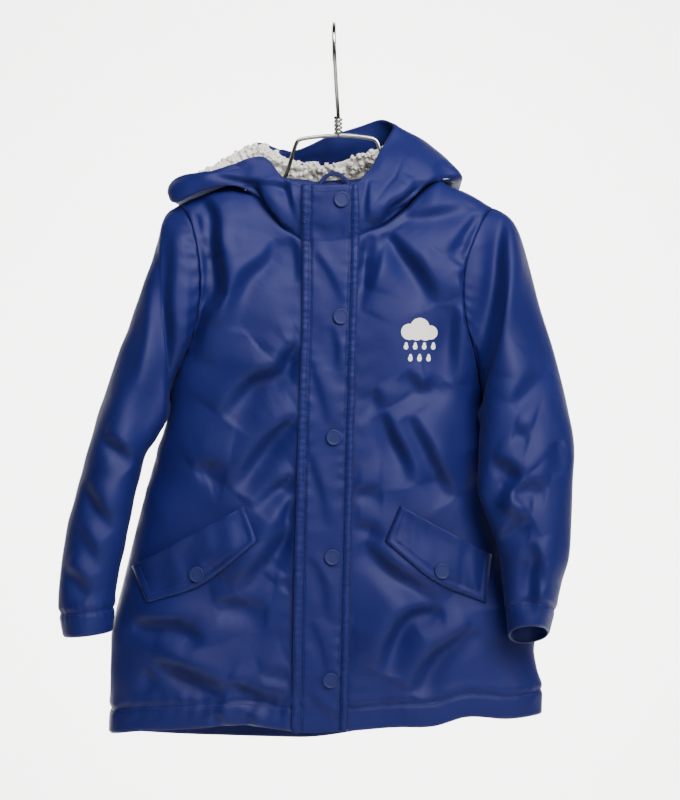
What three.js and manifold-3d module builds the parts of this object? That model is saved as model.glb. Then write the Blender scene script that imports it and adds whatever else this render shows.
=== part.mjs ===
// Kids raincoat with a lined hood, on a wire hanger. Millimetres, +Z up, the front faces -Y.
// The origin is the inner top of the hook, where the rod that carries the hanger touches it.
import * as THREE from 'three';
import Module from 'manifold-3d';

const manifold = await Module();
manifold.setup();

// Driving sizes
const CLOTH = 2.0;              // wall of the coated cloth
const TURN_UP = 2.6;            // wall where the cloth is doubled: hem and cuffs
const SEAM = 0.15;              // each piece stops this far short of its seam line
const CURVED_SEAM = 0.35;       // the same where a seam turns sharply: armholes and neck
const GAP = 0.35;               // clearance between a piece and the one it lies on
const PLACKET_WALL = 1.5;
const WELT_WALL = 2.8;          // raised edge on each side of the placket
const LINING_WALL = 3.4;        // backing and pile of the hood lining
const LINING_GAP = 1.1;
const FACING_WALL = 1.2;
const LEAST_WALL = 0.8;         // thinnest that lining and facing are pressed to
const PRESSED = 0.75;           // share of the room inside a sharp fold that they fill
const FLAP_WALL = 2.2;
const FLAP_LIFT = 1.3;          // clearance of a flap over the front, which is rounder than it
const FLAP_REACH = 3;           // how far round a point of the flap the front is looked at
const SNAP_RADIUS = 7.1;
const SNAP_HEIGHT = 2.6;
const SNAP_SIDES = 16;
const WIRE = 1.9;               // radius of the hanger's wire
const WIRE_SIDES = 8;
const COIL_WIRE_SIDES = 6;
const ROD = 18;                 // inner radius of the hook
const COIL_RADIUS = 2.8;        // the wire wound round the hanger's neck
const COIL_HEIGHT = 17;
const COIL_TURNS = 4.5;
const TAPE_THICK = 1;           // hang loop
const TAPE_WIDE = 4.8;
const FOLD_END = 0.35;          // share of its depth that a fold keeps at its ends
const FOLD_FADE = 3;            // how fast it deepens from there
const ROUNDNESS = 2.6;          // exponent of the body's section, flat in front and round at the sides
const YOKE = 0.2;               // share of the panel's height in which it turns over the shoulder

// Rows up a panel, as shares of its height
const ROWS = [0, 0.03, 0.057, 0.105, 0.155, 0.205, 0.255, 0.305, 0.355, 0.405, 0.455, 0.505, 0.555,
  0.605, 0.64, 0.66, 0.675, 0.7, 0.74, 0.78, 0.82, 0.86, 0.895, 0.925, 0.95, 0.97, 0.985, 1];
const HEM_ROW = 2;
const UNDERARM_ROW = 15;
const TOP_ROW = ROWS.length - 1;
const FRONT_COLUMNS = 13;
const NECK_COLUMN = 9;          // last column of a front that ends in the neck seam
const BACK_COLUMNS = 18;
const SHOULDER_COLUMNS = 4;
const HOOD_STATIONS = 28;
const HOOD_STEPS = 2;           // rows between two points of a hood section
const FACING_ROWS = 2;
const LINING_ROW = 3;           // first row that the lining reaches up from the neck
const SLEEVE_STEPS = 1.5;       // rows from one sleeve section to the next
const CUFF_RINGS = 2;

function table(columns, rows) {
  const names = columns.split(' ');
  return rows.map((row) => Object.fromEntries(names.map((name, n) => [name, row[n]])));
}

// Seam lines seen from the front: wearer's right is the left of the picture
const CENTRE = table('v x y z', [
  [0, -13, -46, -664], [0.1, -12, -48, -618], [0.27, -11, -49, -541], [0.57, -8, -48, -402],
  [0.82, -5, -45, -290], [0.93, -4, -42, -240], [1, -4, -38, -208]]);
const SIDE_RIGHT = table('v x y z', [
  [0, -215, 6, -671], [0.057, -214, 6, -643], [0.15, -213, 6, -596], [0.2, -212, 7, -573],
  [0.3, -201, 8, -527], [0.41, -187, 8, -470], [0.53, -171, 8, -412], [0.595, -160, 6, -380],
  [0.63, -156, 2, -362], [0.66, -155, -4, -348]]);
const SIDE_LEFT = table('v x y z', [
  [0, 198, 6, -652], [0.057, 198, 6, -630], [0.1, 193, 6, -607], [0.13, 191, 6, -593],
  [0.165, 193, 7, -576], [0.22, 189, 8, -550], [0.3, 181, 10, -510], [0.4, 171, 11, -464],
  [0.51, 157, 11, -412], [0.58, 146, 9, -380], [0.62, 141, 4, -364], [0.66, 142, -4, -348]]);
const ARMHOLE_RIGHT = table('v x y z', [
  [0.66, -155, -4, -348], [0.72, -138, -22, -310], [0.77, -129, -30, -282], [0.82, -125, -33, -253],
  [0.88, -127, -32, -220], [0.93, -133, -26, -193], [0.97, -140, -18, -178], [1, -146, -10, -170]]);
const ARMHOLE_LEFT = table('v x y z', [
  [0.66, 142, -4, -348], [0.72, 130, -24, -305], [0.77, 123, -32, -278], [0.82, 121, -34, -254],
  [0.88, 123, -33, -230], [0.93, 131, -30, -206], [0.97, 141, -21, -185], [1, 150, -10, -173]]);
const BACK_ARMHOLE_RIGHT = table('v x y z', [
  [0.66, -155, -4, -348], [0.72, -146, 16, -318], [0.77, -137, 27, -287], [0.82, -131, 32, -255],
  [0.88, -131, 32, -220], [0.93, -135, 23, -190], [0.97, -140, 10, -175], [1, -146, -10, -170]]);
const BACK_ARMHOLE_LEFT = table('v x y z', [
  [0.66, 142, -4, -348], [0.72, 134, 16, -318], [0.77, 127, 27, -287], [0.82, 124, 32, -255],
  [0.88, 126, 32, -222], [0.93, 133, 23, -194], [0.97, 141, 10, -179], [1, 150, -10, -173]]);
const HEM_RIGHT = table('i x z', [
  [0, -13, -664], [1, -31, -664], [2, -40, -663], [5, -86, -658], [8, -132, -662], [11, -183, -666],
  [13, -215, -671]]);
const HEM_LEFT = table('i x z', [
  [0, -13, -664], [1, 5, -663], [2, 13, -663], [5, 60, -660], [7, 92, -659], [9, 124, -651],
  [11, 162, -654], [13, 198, -652]]);
const TOP_RIGHT = table('i x y z', [
  [0, -4, -38, -208], [1, -22, -38, -207], [2, -30, -37, -205], [3, -40, -35, -199], [4, -49, -33, -193],
  [5, -59, -29, -180], [6, -68, -25, -170], [7, -79, -20, -160], [8, -88, -14, -155], [9, -97, -9, -151],
  [10, -109, -8, -155], [11, -121, -9, -160], [12, -134, -9, -165], [13, -146, -10, -170]]);
const TOP_LEFT = table('i x y z', [
  [0, -4, -38, -208], [1, 16, -38, -204], [2, 24, -37, -201], [3, 33, -35, -197], [4, 41, -33, -194],
  [5, 49, -30, -190], [6, 58, -27, -183], [7, 68, -22.5, -174], [8, 80, -17, -161], [9, 98, -9, -148],
  [10, 110, -8, -153], [11, 124, -8, -158], [12, 137, -9, -165], [13, 150, -10, -173]]);
const BACK_CENTRE = table('v y', [
  [0, 38], [0.3, 41], [0.6, 42], [0.85, 43], [1, 34]]);
const BACK_HEM = table('i x z', [
  [0, -215, -671], [3, -150, -677], [7, -55, -681], [9, -10, -680], [12, 60, -668], [15, 130, -660],
  [18, 198, -652]]);
const BACK_TOP = table('i x y z', [
  [0, -146, -10, -170], [1, -134, -9, -165], [2, -121, -9, -160], [3, -109, -8, -155], [4, -97, -9, -151],
  [5, -90, 6, -147], [6, -76, 17, -147], [7, -56, 26, -149], [8, -30, 32, -152], [9, 0, 34, -153],
  [10, 30, 32, -152], [11, 57, 26, -149], [12, 77, 17, -146], [13, 91, 6, -145], [14, 98, -9, -148],
  [15, 110, -8, -153], [16, 124, -8, -158], [17, 137, -9, -165], [18, 150, -10, -173]]);

// Sleeve sections: outer and inner point of each ring, half its depth, rise of its front edge
const SLEEVE_RIGHT = table('ox oy oz ix iy iz half rise', [
  [-159, -4, -182, -160, -12, -355, 34, 0], [-167, -5, -207, -161, -15, -357, 35, 0],
  [-180, -6, -245, -163, -21, -371, 36, 0], [-196, -8, -292, -170, -25, -388, 37, 0],
  [-212, -12, -338, -177, -28, -408, 37, 0], [-228, -18, -384, -184, -30, -438, 36, 0],
  [-241, -24, -440, -190, -31, -471, 34, 0], [-250, -28, -482, -195.5, -32, -498, 32, 0],
  [-256, -30, -515, -201, -32, -518, 31, 0], [-257, -31, -531, -203.5, -32, -529, 30, 0],
  [-256.5, -31, -552, -205.5, -32, -549, 30, 0], [-253, -31, -576, -208, -32, -571, 30, 0]]);
const SLEEVE_LEFT = table('ox oy oz ix iy iz half rise', [
  [165, -3, -180, 146, -12, -357, 33, 0], [175, -4, -196, 145, -18, -364, 35, 0],
  [186, -5, -236, 141, -25, -368, 36, 0], [197, -8, -276, 136.5, -35, -380, 36, 0],
  [208, -12, -312, 134, -40, -396, 36, 0], [220, -20, -350, 133, -44, -416, 35, 0],
  [225, -30, -390, 132.5, -48, -438, 34, 0], [221, -38, -430, 138, -52, -456, 32, 0],
  [220, -44, -465, 146, -54, -476, 31, 1], [218, -48, -499, 152, -55, -498, 30, 2],
  [211, -50, -521, 155, -55, -519, 29, 3], [208, -51, -533, 156.5, -55, -532, 29, 4],
  [204, -52, -552, 158, -55, -552, 29, 7], [199, -53, -572, 159, -55, -573, 29, 11]]);

// Hood sections from the neck seam outward: seven points each, the first one on the seam itself
const HOOD = table('k ax ay az bx by bz cx cy cz dx dy dz ex ey ez rx ry rz', [
  [0, -4, -40, -199, -4, -42, -190, -4, -43, -181, -4, -43, -172, -4, -43, -163, -4, -42.5, -154.5],
  [1, -22, -39.5, -198, -22, -41.5, -189, -22, -42.3, -180.5, -22, -42.3, -171.5, -22, -42.3, -162.5,
    -22, -41.5, -154.2],
  [2, -30, -39, -197, -30, -41, -188, -30, -41.5, -180, -30, -41.5, -171, -30, -41.5, -162,
    -30, -40.5, -154],
  [4, -49, -35.5, -185, -49, -37.5, -177, -48.5, -38.5, -169, -48, -38.5, -161, -48, -37.5, -154,
    -48, -35, -147],
  [5.5, -64, -30, -169, -64, -33, -162, -64, -34.5, -154, -65, -34, -145, -65, -32, -136, -66, -28, -127],
  [6.6, -76, -26.5, -162, -83, -30, -158, -90, -32.7, -153.5, -95.5, -34, -147, -97, -33, -140,
    -93, -30, -133],
  [7.4, -84, -21, -152, -98, -27, -151, -114, -31, -156.5, -123, -33, -152, -123, -32, -146,
    -119, -28, -140],
  [8.2, -92, -16, -147, -112, -22, -152, -136, -27, -164, -146, -25, -158, -146, -22, -150,
    -141, -17, -142],
  [8.8, -96, -11, -143, -116, -16, -150, -147, -20, -169, -155, -16, -162, -155, -13, -154,
    -150, -8, -145],
  [9.4, -95, -4, -140, -116, -2, -146, -150, -1, -165, -158, 0, -161, -157, 0, -153, -151, 1, -146],
  [10, -92, 6, -138, -114, 12, -146, -146, 18, -166, -156, 22, -163, -153, 23, -152, -149, 26, -145],
  [11, -83, 19, -139, -100, 28, -154, -132, 38, -178, -143, 46, -167, -130, 44, -137, -135, 55, -146],
  [12, -62, 31, -140, -72, 42, -160, -105, 66, -205, -118, 72, -175, -108, 50, -125, -114, 62, -134],
  [13, -33, 38, -143, -40, 47, -165, -70, 80, -235, -80, 84, -180, -74, 50, -106, -80, 60, -117],
  [14, 0, 40, -144, -4, 49, -168, -22, 88, -246, -38, 90, -190, -45, 50, -124, -38, 42, -113],
  [15, 30, 38, -143, 28, 48, -168, 22, 88, -246, 10, 88, -180, -8, 46, -127, -6, 38, -100],
  [16, 57, 32, -140, 60, 42, -163, 62, 82, -232, 46, 80, -165, 24, 42, -118, 24, 34, -91],
  [17, 80, 21, -137, 88, 32, -155, 98, 62, -205, 76, 60, -140, 52, 36, -110, 44, 28, -85],
  [18, 97, 10, -137, 106, 20, -155, 117, 28, -160, 115, 30, -142, 86, 25, -112, 54, 16, -88],
  [19, 101, -9, -143.5, 112, -6, -149.3, 122, -4, -144, 110, 1, -130, 84, 4, -109, 57, 4, -94],
  [20, 84, -19, -154.5, 91, -22, -151.5, 99, -23, -143.5, 88, -20, -130, 67, -14, -117, 48, -8, -111],
  [21, 71, -26, -167, 77, -30, -162, 82, -31, -151, 73, -28, -139, 58, -22, -128, 42, -16, -122],
  [22, 62, -30.5, -176, 67, -33, -168, 69, -34.5, -159, 61, -32, -149, 49, -27, -140, 37, -22, -133],
  [24, 44, -36.5, -187, 47, -39, -180, 47, -40, -173, 41, -38, -163, 35, -35, -153, 28, -32, -145],
  [26, 24, -39.5, -194, 24, -41.5, -187, 24, -42.3, -179, 23.5, -42, -170, 22.5, -41, -161, 21, -39, -153],
  [27, 16, -39.8, -197, 16, -41.8, -188.5, 16, -42.7, -180, 16, -42.6, -171, 16, -42.2, -162,
    16, -41, -154],
  [28, -4, -40, -199, -4, -42, -190, -4, -43, -181, -4, -43, -172, -4, -43, -163, -4, -42.5, -154.5]]);

// Largest folds, each along three points seen from the front, or from behind for the back
const FOLDS = table('on depth half x1 z1 x2 z2 x3 z3', [
  ['right', 5, 13, -122, -168, -106, -236, -129, -312],
  ['right', 3, 12, -60, -215, -70, -232, -94, -263],
  ['right', 4, 13, -32, -305, -70, -334, -105, -370],
  ['right', 4, 12, -34, -372, -68, -400, -93, -438],
  ['right', 4, 12, -40, -450, -56, -492, -90, -528],
  ['right', 3.5, 13, -186, -563, -139, -566, -120, -588],
  ['right', 4, 12, -169, -599, -124, -613, -98, -632],
  ['right', 3, 11, -98, -617, -76, -626, -46, -632],
  ['left', 4, 12, 54, -200, 78, -231, 98, -268],
  ['left', 3, 11, 40, -212, 30, -246, 23, -268],
  ['left', 3.5, 12, 112, -272, 112, -312, 108, -340],
  ['left', 4, 12, 45, -366, 60, -398, 74, -436],
  ['left', 4, 12, 70, -370, 90, -402, 113, -446],
  ['left', 4, 12, 28, -487, 66, -517, 104, -542],
  ['left', 4, 12, 101, -550, 62, -562, 44, -606],
  ['left', 4, 12, 128, -566, 96, -590, 72, -626],
  ['left', 16, 44, 152, -398, 165, -455, 182, -545],
  ['back', 4, 16, -90, -300, -40, -330, 30, -345],
  ['back', 4, 15, 110, -280, 70, -330, 30, -400],
  ['back', 4, 15, -130, -420, -80, -450, -20, -500],
  ['back', 3.5, 14, 140, -470, 90, -520, 60, -590],
  ['back', 3.5, 14, -150, -540, -110, -580, -80, -640],
  ['armRight', 5, 13, -155, -200, -153, -280, -155, -350],
  ['armRight', 3.5, 11, -212, -390, -196, -398, -184, -411],
  ['armRight', 3.5, 11, -226, -433, -216, -452, -203, -470],
  ['armLeft', 5, 12, 157, -190, 146, -260, 140, -320],
  ['armLeft', 4, 11, 150, -410, 163, -417, 178, -430],
  ['armLeft', 4, 11, 158, -440, 176, -434, 194, -436],
  ['armLeft', 3.5, 11, 152, -482, 162, -472, 182, -463]]);

// Pocket flaps: corners seen from the front, clockwise from the upper corner nearest the placket
const FLAPS = table('side upX upZ outX outZ lowX lowZ tipX tipZ inX inZ snapX snapZ', [
  ['right', -82, -453, -191, -512, -175, -545, -123, -530, -70, -486, -127, -517],
  ['left', 61, -453, 148, -500, 142, -545, 95, -527, 47, -486, 100, -514]]);
const FLAP_ACROSS = 10;
const FLAP_DOWN = 4;
const PLACKET_SNAPS = table('x z', [
  [7.2, -169], [6.6, -278], [0, -390], [-1.5, -501], [-3, -615]]);

// Smooth value of every numeric column of a table at one value of its first column
function at(rows, key, where) {
  let n = 0;
  while (n < rows.length - 2 && where > rows[n + 1][key]) n += 1;
  const [a, b] = [rows[n], rows[n + 1]];
  const [before, after] = [rows[Math.max(n - 1, 0)], rows[Math.min(n + 2, rows.length - 1)]];
  const span = b[key] - a[key];
  const t = (where - a[key]) / span;
  const out = {};
  for (const name of Object.keys(a)) {
    const slopeA = (b[name] - before[name]) / (b[key] - before[key]) * span;
    const slopeB = (after[name] - a[name]) / (after[key] - a[key]) * span;
    out[name] = a[name] * (2 * t ** 3 - 3 * t ** 2 + 1) + slopeA * (t ** 3 - 2 * t ** 2 + t)
      + b[name] * (3 * t ** 2 - 2 * t ** 3) + slopeB * (t ** 3 - t ** 2);
  }
  return out;
}

function mix(a, b, t) {
  return a + (b - a) * t;
}

// How far a fold pushes the cloth in at one point of the view it was read from
function foldDepth(where, x, z) {
  let depth = 0;
  for (const fold of FOLDS.filter((row) => row.on === where)) {
    const points = [[fold.x1, fold.z1], [fold.x2, fold.z2], [fold.x3, fold.z3]];
    let nearest = Infinity;
    let along = 0;
    for (let n = 0; n < 2; n += 1) {
      const [[px, pz], [qx, qz]] = [points[n], points[n + 1]];
      const length2 = (qx - px) ** 2 + (qz - pz) ** 2;
      const t = Math.min(1, Math.max(0, ((x - px) * (qx - px) + (z - pz) * (qz - pz)) / length2));
      const distance = Math.hypot(x - mix(px, qx, t), z - mix(pz, qz, t));
      if (distance < nearest) {
        nearest = distance;
        along = (n + t) / 2;
      }
    }
    const fade = Math.min(1, FOLD_END + FOLD_FADE * Math.min(along, 1 - along));
    if (nearest < fold.half) depth += fold.depth * fade * (1 - (nearest / fold.half) ** 2) ** 2;
  }
  return depth;
}

// Shape of the body's section: 1 at its middle, 0 at its side
function section(u) {
  return (1 - Math.min(1, Math.max(0, u)) ** ROUNDNESS) ** (1 / ROUNDNESS);
}

// Share of the top seam's depth that a row takes, so that the cloth rounds over the shoulder
function yoke(v) {
  const t = Math.min(1, (1 - v) / YOKE);
  return 1 - Math.sqrt(1 - (1 - t) ** 2);
}

// Point of a panel between its four seam lines, x and z only
function between(hem, top, near, far, ends, u, v) {
  const point = {};
  for (const axis of ['x', 'z']) {
    point[axis] = mix(hem[axis], top[axis], v)
      + (1 - u) ** 2 * (near[axis] - mix(ends.near0[axis], ends.near1[axis], v))
      + u ** 2 * (far[axis] - mix(ends.far0[axis], ends.far1[axis], v));
  }
  return point;
}

function sideAt(side, armhole, v) {
  return v <= ROWS[UNDERARM_ROW] ? at(side, 'v', v) : at(armhole, 'v', v);
}

function frontGrid(name, side, armhole, hemLine, topLine) {
  const grid = [];
  const ends = {
    near0: CENTRE[0], near1: CENTRE[CENTRE.length - 1], far0: side[0], far1: armhole[armhole.length - 1],
  };
  const width = ends.far0.x - ends.near0.x;
  const topWidth = ends.far1.x - ends.near1.x;
  for (let i = 0; i <= FRONT_COLUMNS; i += 1) {
    const hem = at(hemLine, 'i', i);
    const top = at(topLine, 'i', i);
    const uHem = (hem.x - ends.near0.x) / width;
    const uTop = (top.x - ends.near1.x) / topWidth;
    grid.push(ROWS.map((v) => {
      const u = mix(uHem, uTop, v);
      const near = at(CENTRE, 'v', v);
      const far = sideAt(side, armhole, v);
      const p = between(hem, top, near, far, ends, u, v);
      const topBase = mix(ends.far1.y, ends.near1.y, section(uTop));
      let y = mix(far.y, near.y, section(u)) + yoke(v) * (top.y - topBase);
      if (v < 1 && i < FRONT_COLUMNS) y += foldDepth(name, p.x, p.z);
      return new THREE.Vector3(p.x, y, p.z);
    }));
  }
  return grid;
}

function backGrid() {
  const grid = [];
  const last = ARMHOLE_RIGHT.length - 1;
  const ends = {
    near0: SIDE_RIGHT[0], near1: ARMHOLE_RIGHT[last], far0: SIDE_LEFT[0], far1: ARMHOLE_LEFT[last],
  };
  for (let i = 0; i <= BACK_COLUMNS; i += 1) {
    const hem = at(BACK_HEM, 'i', i);
    const top = at(BACK_TOP, 'i', i);
    const uHem = (hem.x - ends.near0.x) / (ends.far0.x - ends.near0.x);
    const uTop = (top.x - ends.near1.x) / (ends.far1.x - ends.near1.x);
    grid.push(ROWS.map((v) => {
      const u = mix(uHem, uTop, v);
      const near = sideAt(SIDE_RIGHT, BACK_ARMHOLE_RIGHT, v);
      const far = sideAt(SIDE_LEFT, BACK_ARMHOLE_LEFT, v);
      const p = between(hem, top, near, far, ends, u, v);
      const middle = at(BACK_CENTRE, 'v', v).y;
      const topMiddle = BACK_CENTRE[BACK_CENTRE.length - 1].y;
      const topBase = mix(ends.far1.y, topMiddle, section(Math.abs(2 * uTop - 1)));
      let y = mix(mix(near.y, far.y, u), middle, section(Math.abs(2 * u - 1)));
      y += yoke(v) * (top.y - topBase);
      if (v < 1 && i > 0 && i < BACK_COLUMNS) y -= foldDepth('back', p.x, p.z);
      return new THREE.Vector3(p.x, y, p.z);
    }));
  }
  return grid;
}

// Rings of a sleeve: the armhole itself, then the table's sections; each starts at the shoulder tip
function sleeveGrid(name, front, back, sections) {
  const loop = [];
  for (let j = TOP_ROW; j >= UNDERARM_ROW; j -= 1) loop.push(front[j]);
  for (let j = UNDERARM_ROW + 1; j < TOP_ROW; j += 1) loop.push(back[j]);
  const count = loop.length;
  const halfway = TOP_ROW - UNDERARM_ROW;
  const lengths = [0];
  for (let m = 1; m <= count; m += 1) {
    lengths.push(lengths[m - 1] + loop[m % count].distanceTo(loop[m - 1]));
  }
  const turn = loop.map((point, m) => {
    const share = m <= halfway ? lengths[m] / lengths[halfway] / 2
      : 0.5 + (lengths[m] - lengths[halfway]) / (lengths[count] - lengths[halfway]) / 2;
    return mix(share, m / count, 0.5) * 2 * Math.PI;
  });
  const rings = [loop];
  for (const row of sections) {
    rings.push(turn.map((angle) => new THREE.Vector3(
      mix(row.ix, row.ox, 0.5 + Math.cos(angle) / 2),
      mix(row.iy, row.oy, 0.5 + Math.cos(angle) / 2) - row.half * Math.sin(angle),
      mix(row.iz, row.oz, 0.5 + Math.cos(angle) / 2) + row.rise * Math.sin(angle))));
  }
  const grid = [];
  for (let m = 0; m < count; m += 1) {
    const column = rings.map((ring, n) => ({ n, x: ring[m].x, y: ring[m].y, z: ring[m].z }));
    const line = [];
    for (let step = 0; step <= (rings.length - 1) * SLEEVE_STEPS; step += 1) {
      const p = at(column, 'n', step / SLEEVE_STEPS);
      const facing = Math.max(0, Math.sin(turn[m]));
      const fold = step > 0 ? foldDepth(name, p.x, p.z) * Math.sqrt(facing) : 0;
      line.push(new THREE.Vector3(p.x, p.y + fold, p.z));
    }
    grid.push(line);
  }
  return grid;
}

function hoodGrid(seam) {
  const grid = [];
  for (let k = 0; k <= HOOD_STATIONS; k += 1) {
    const row = at(HOOD, 'k', k);
    const points = [{ n: 0, x: seam[k].x, y: seam[k].y, z: seam[k].z }];
    'abcder'.split('').forEach((letter, n) => {
      points.push({ n: n + 1, x: row[`${letter}x`], y: row[`${letter}y`], z: row[`${letter}z`] });
    });
    const line = [];
    for (let step = 0; step <= (points.length - 1) * HOOD_STEPS; step += 1) {
      const p = at(points, 'n', step / HOOD_STEPS);
      line.push(new THREE.Vector3(p.x, p.y, p.z));
    }
    grid.push(line);
  }
  return grid;
}

// Normals shared by every cloth piece, so that two pieces meet in a mitre along their seam
const shared = new Map();

function keyOf(point) {
  return [point.x, point.y, point.z].map((value) => Math.round(value * 100)).join(' ');
}

function addNormals(grid, closed, outward) {
  const columns = grid.length;
  for (let i = 0; i < (closed ? columns : columns - 1); i += 1) {
    const next = grid[(i + 1) % columns];
    for (let j = 0; j < grid[i].length - 1; j += 1) {
      const corners = [grid[i][j], next[j], next[j + 1], grid[i][j + 1]];
      const across = corners[2].clone().sub(corners[0]);
      const up = corners[3].clone().sub(corners[1]);
      const normal = across.cross(up).multiplyScalar(outward);
      for (const corner of corners) {
        const key = keyOf(corner);
        if (!shared.has(key)) shared.set(key, new THREE.Vector3());
        shared.get(key).add(normal.clone().normalize());
      }
    }
  }
}

function normalAt(point) {
  return shared.get(keyOf(point)).clone().normalize();
}

// One closed wall over part of a grid: columns and rows from first to last, between two depths
// below the outer face. Its open edges stop short of the seam line. Columns of the mirrored side
// turn the diagonals of their faces round, so that pieces laid on each other have the same facets.
function wall(grid, options) {
  const { columns = [0, grid.length - 1], rows = [0, grid[0].length - 1] } = options;
  const { depths, closed = false, seam = SEAM, mirrored = () => false } = options;
  const [low, high] = rows;
  const ids = [];
  const first = closed ? 0 : columns[0];
  const last = closed ? grid.length - 1 : columns[1];
  for (let i = first; i <= last; i += 1) ids.push(i);
  const count = ids.length;
  const faces = [[], []];
  const seamLine = [[], []];
  ids.forEach((i, n) => {
    for (let j = low; j <= high; j += 1) {
      const point = grid[i][j].clone();
      const normal = normalAt(grid[i][j]);
      const pull = new THREE.Vector3();
      const toward = (other) => pull.add(other.clone().sub(grid[i][j]).normalize().multiplyScalar(seam));
      if (!closed && n === 0) toward(grid[ids[1]][j]);
      if (!closed && n === count - 1) toward(grid[ids[count - 2]][j]);
      if (j === low) toward(grid[i][j + 1]);
      if (j === high) toward(grid[i][j - 1]);
      point.add(pull);
      depths.forEach((depth, side) => {
        const amount = typeof depth === 'function' ? depth(i, j) : depth;
        faces[side].push(point.clone().addScaledVector(normal, -amount));
        seamLine[side].push(grid[i][j].clone().addScaledVector(normal, -amount));
      });
    }
  });
  const perColumn = high - low + 1;
  const id = (side, n, j) => side * count * perColumn + (n % count) * perColumn + j;
  const triangles = [];
  const full = [...seamLine[0], ...seamLine[1]];
  const quad = (a, b, c, d) => triangles.push([a, b, c], [a, c, d]);
  // An edge face is split along its shorter diagonal, the same way on both sides of a seam
  const edge = (a, b, c, d) => {
    const slack = full[a].distanceTo(full[c]) - full[b].distanceTo(full[d]);
    if (slack < 0) quad(a, b, c, d);
    else quad(b, c, d, a);
  };
  const steps = closed ? count : count - 1;
  for (let n = 0; n < steps; n += 1) {
    for (let j = 0; j < perColumn - 1; j += 1) {
      if (mirrored(ids[n])) {
        quad(id(0, n + 1, j), id(0, n + 1, j + 1), id(0, n, j + 1), id(0, n, j));
        quad(id(1, n + 1, j), id(1, n, j), id(1, n, j + 1), id(1, n + 1, j + 1));
      } else {
        quad(id(0, n, j), id(0, n + 1, j), id(0, n + 1, j + 1), id(0, n, j + 1));
        quad(id(1, n, j), id(1, n, j + 1), id(1, n + 1, j + 1), id(1, n + 1, j));
      }
    }
    edge(id(0, n + 1, 0), id(0, n, 0), id(1, n, 0), id(1, n + 1, 0));
    const top = perColumn - 1;
    edge(id(0, n, top), id(0, n + 1, top), id(1, n + 1, top), id(1, n, top));
  }
  if (!closed) {
    for (let j = 0; j < perColumn - 1; j += 1) {
      edge(id(0, 0, j), id(0, 0, j + 1), id(1, 0, j + 1), id(1, 0, j));
      edge(id(0, count - 1, j + 1), id(0, count - 1, j), id(1, count - 1, j), id(1, count - 1, j + 1));
    }
  }
  return solid([...faces[0], ...faces[1]], triangles);
}

// Geometry from points and triangles, turned right side out
function solid(points, triangles) {
  let volume = 0;
  for (const [a, b, c] of triangles) volume += points[a].dot(points[b].clone().cross(points[c]));
  const facing = volume < 0 ? triangles.map(([a, b, c]) => [a, c, b]) : triangles;
  const geometry = new THREE.BufferGeometry();
  const values = points.flatMap((p) => p.toArray());
  geometry.setAttribute('position', new THREE.Float32BufferAttribute(values, 3));
  geometry.setIndex(facing.flat());
  return geometry;
}

const group = new THREE.Group();

function add(name, geometry, colour, roughness, metalness) {
  const material = new THREE.MeshStandardMaterial({ color: colour, roughness, metalness });
  geometry.computeVertexNormals();
  const mesh = new THREE.Mesh(geometry, material);
  mesh.name = name;
  group.add(mesh);
}

const NAVY = '#28356f';
const NAVY_DARK = '#202c60';
const SHERPA = '#dcdacd';
const CHROME = '#b4b2ae';
const addCloth = (name, geometry) => add(name, geometry, NAVY, 0.42, 0);

// Body
const frontRight = frontGrid('right', SIDE_RIGHT, ARMHOLE_RIGHT, HEM_RIGHT, TOP_RIGHT);
const frontLeft = frontGrid('left', SIDE_LEFT, ARMHOLE_LEFT, HEM_LEFT, TOP_LEFT);
const back = backGrid();
addNormals(frontRight, false, -1);
addNormals(frontLeft, false, 1);
addNormals(back, false, -1);

// Sleeves
const sleeveRight = sleeveGrid('armRight', frontRight[FRONT_COLUMNS], back[0], SLEEVE_RIGHT);
const sleeveLeft = sleeveGrid('armLeft', frontLeft[FRONT_COLUMNS], back[BACK_COLUMNS], SLEEVE_LEFT);
addNormals(sleeveRight, true, -1);
addNormals(sleeveLeft, true, 1);

// Hood, sewn to the neck from the centre front round the back and to the centre again
const neckSeam = [
  ...frontRight.slice(0, NECK_COLUMN + 1).map((column) => column[TOP_ROW]),
  ...back.slice(SHOULDER_COLUMNS + 1, BACK_COLUMNS - SHOULDER_COLUMNS).map((column) => column[TOP_ROW]),
  ...frontLeft.slice(0, NECK_COLUMN + 1).reverse().map((column) => column[TOP_ROW]),
];
const hood = hoodGrid(neckSeam);
addNormals(hood, false, -1);

const bodyRows = [HEM_ROW, TOP_ROW];
const hemRows = [0, HEM_ROW];
addCloth('front_right', wall(frontRight, { rows: bodyRows, depths: [0, CLOTH] }));
addCloth('front_left', wall(frontLeft, { rows: bodyRows, depths: [0, CLOTH] }));
addCloth('back', wall(back, { rows: bodyRows, depths: [0, CLOTH] }));
addCloth('hem_front_right', wall(frontRight, { rows: hemRows, depths: [0, TURN_UP] }));
addCloth('hem_front_left', wall(frontLeft, { rows: hemRows, depths: [0, TURN_UP] }));
addCloth('hem_back', wall(back, { rows: hemRows, depths: [0, TURN_UP] }));
for (const [name, grid] of [['right', sleeveRight], ['left', sleeveLeft]]) {
  const end = grid[0].length - 1;
  const cuff = end - CUFF_RINGS * SLEEVE_STEPS;
  addCloth(`sleeve_${name}`, wall(grid, {
    closed: true, rows: [0, cuff], depths: [0, CLOTH], seam: CURVED_SEAM,
  }));
  addCloth(`cuff_${name}`, wall(grid, { closed: true, rows: [cuff, end], depths: [0, TURN_UP] }));
}
const hoodMirrored = (k) => k >= HOOD_STATIONS / 2;
addCloth('hood', wall(hood, { depths: [0, CLOTH], seam: CURVED_SEAM, mirrored: hoodMirrored }));

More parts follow.
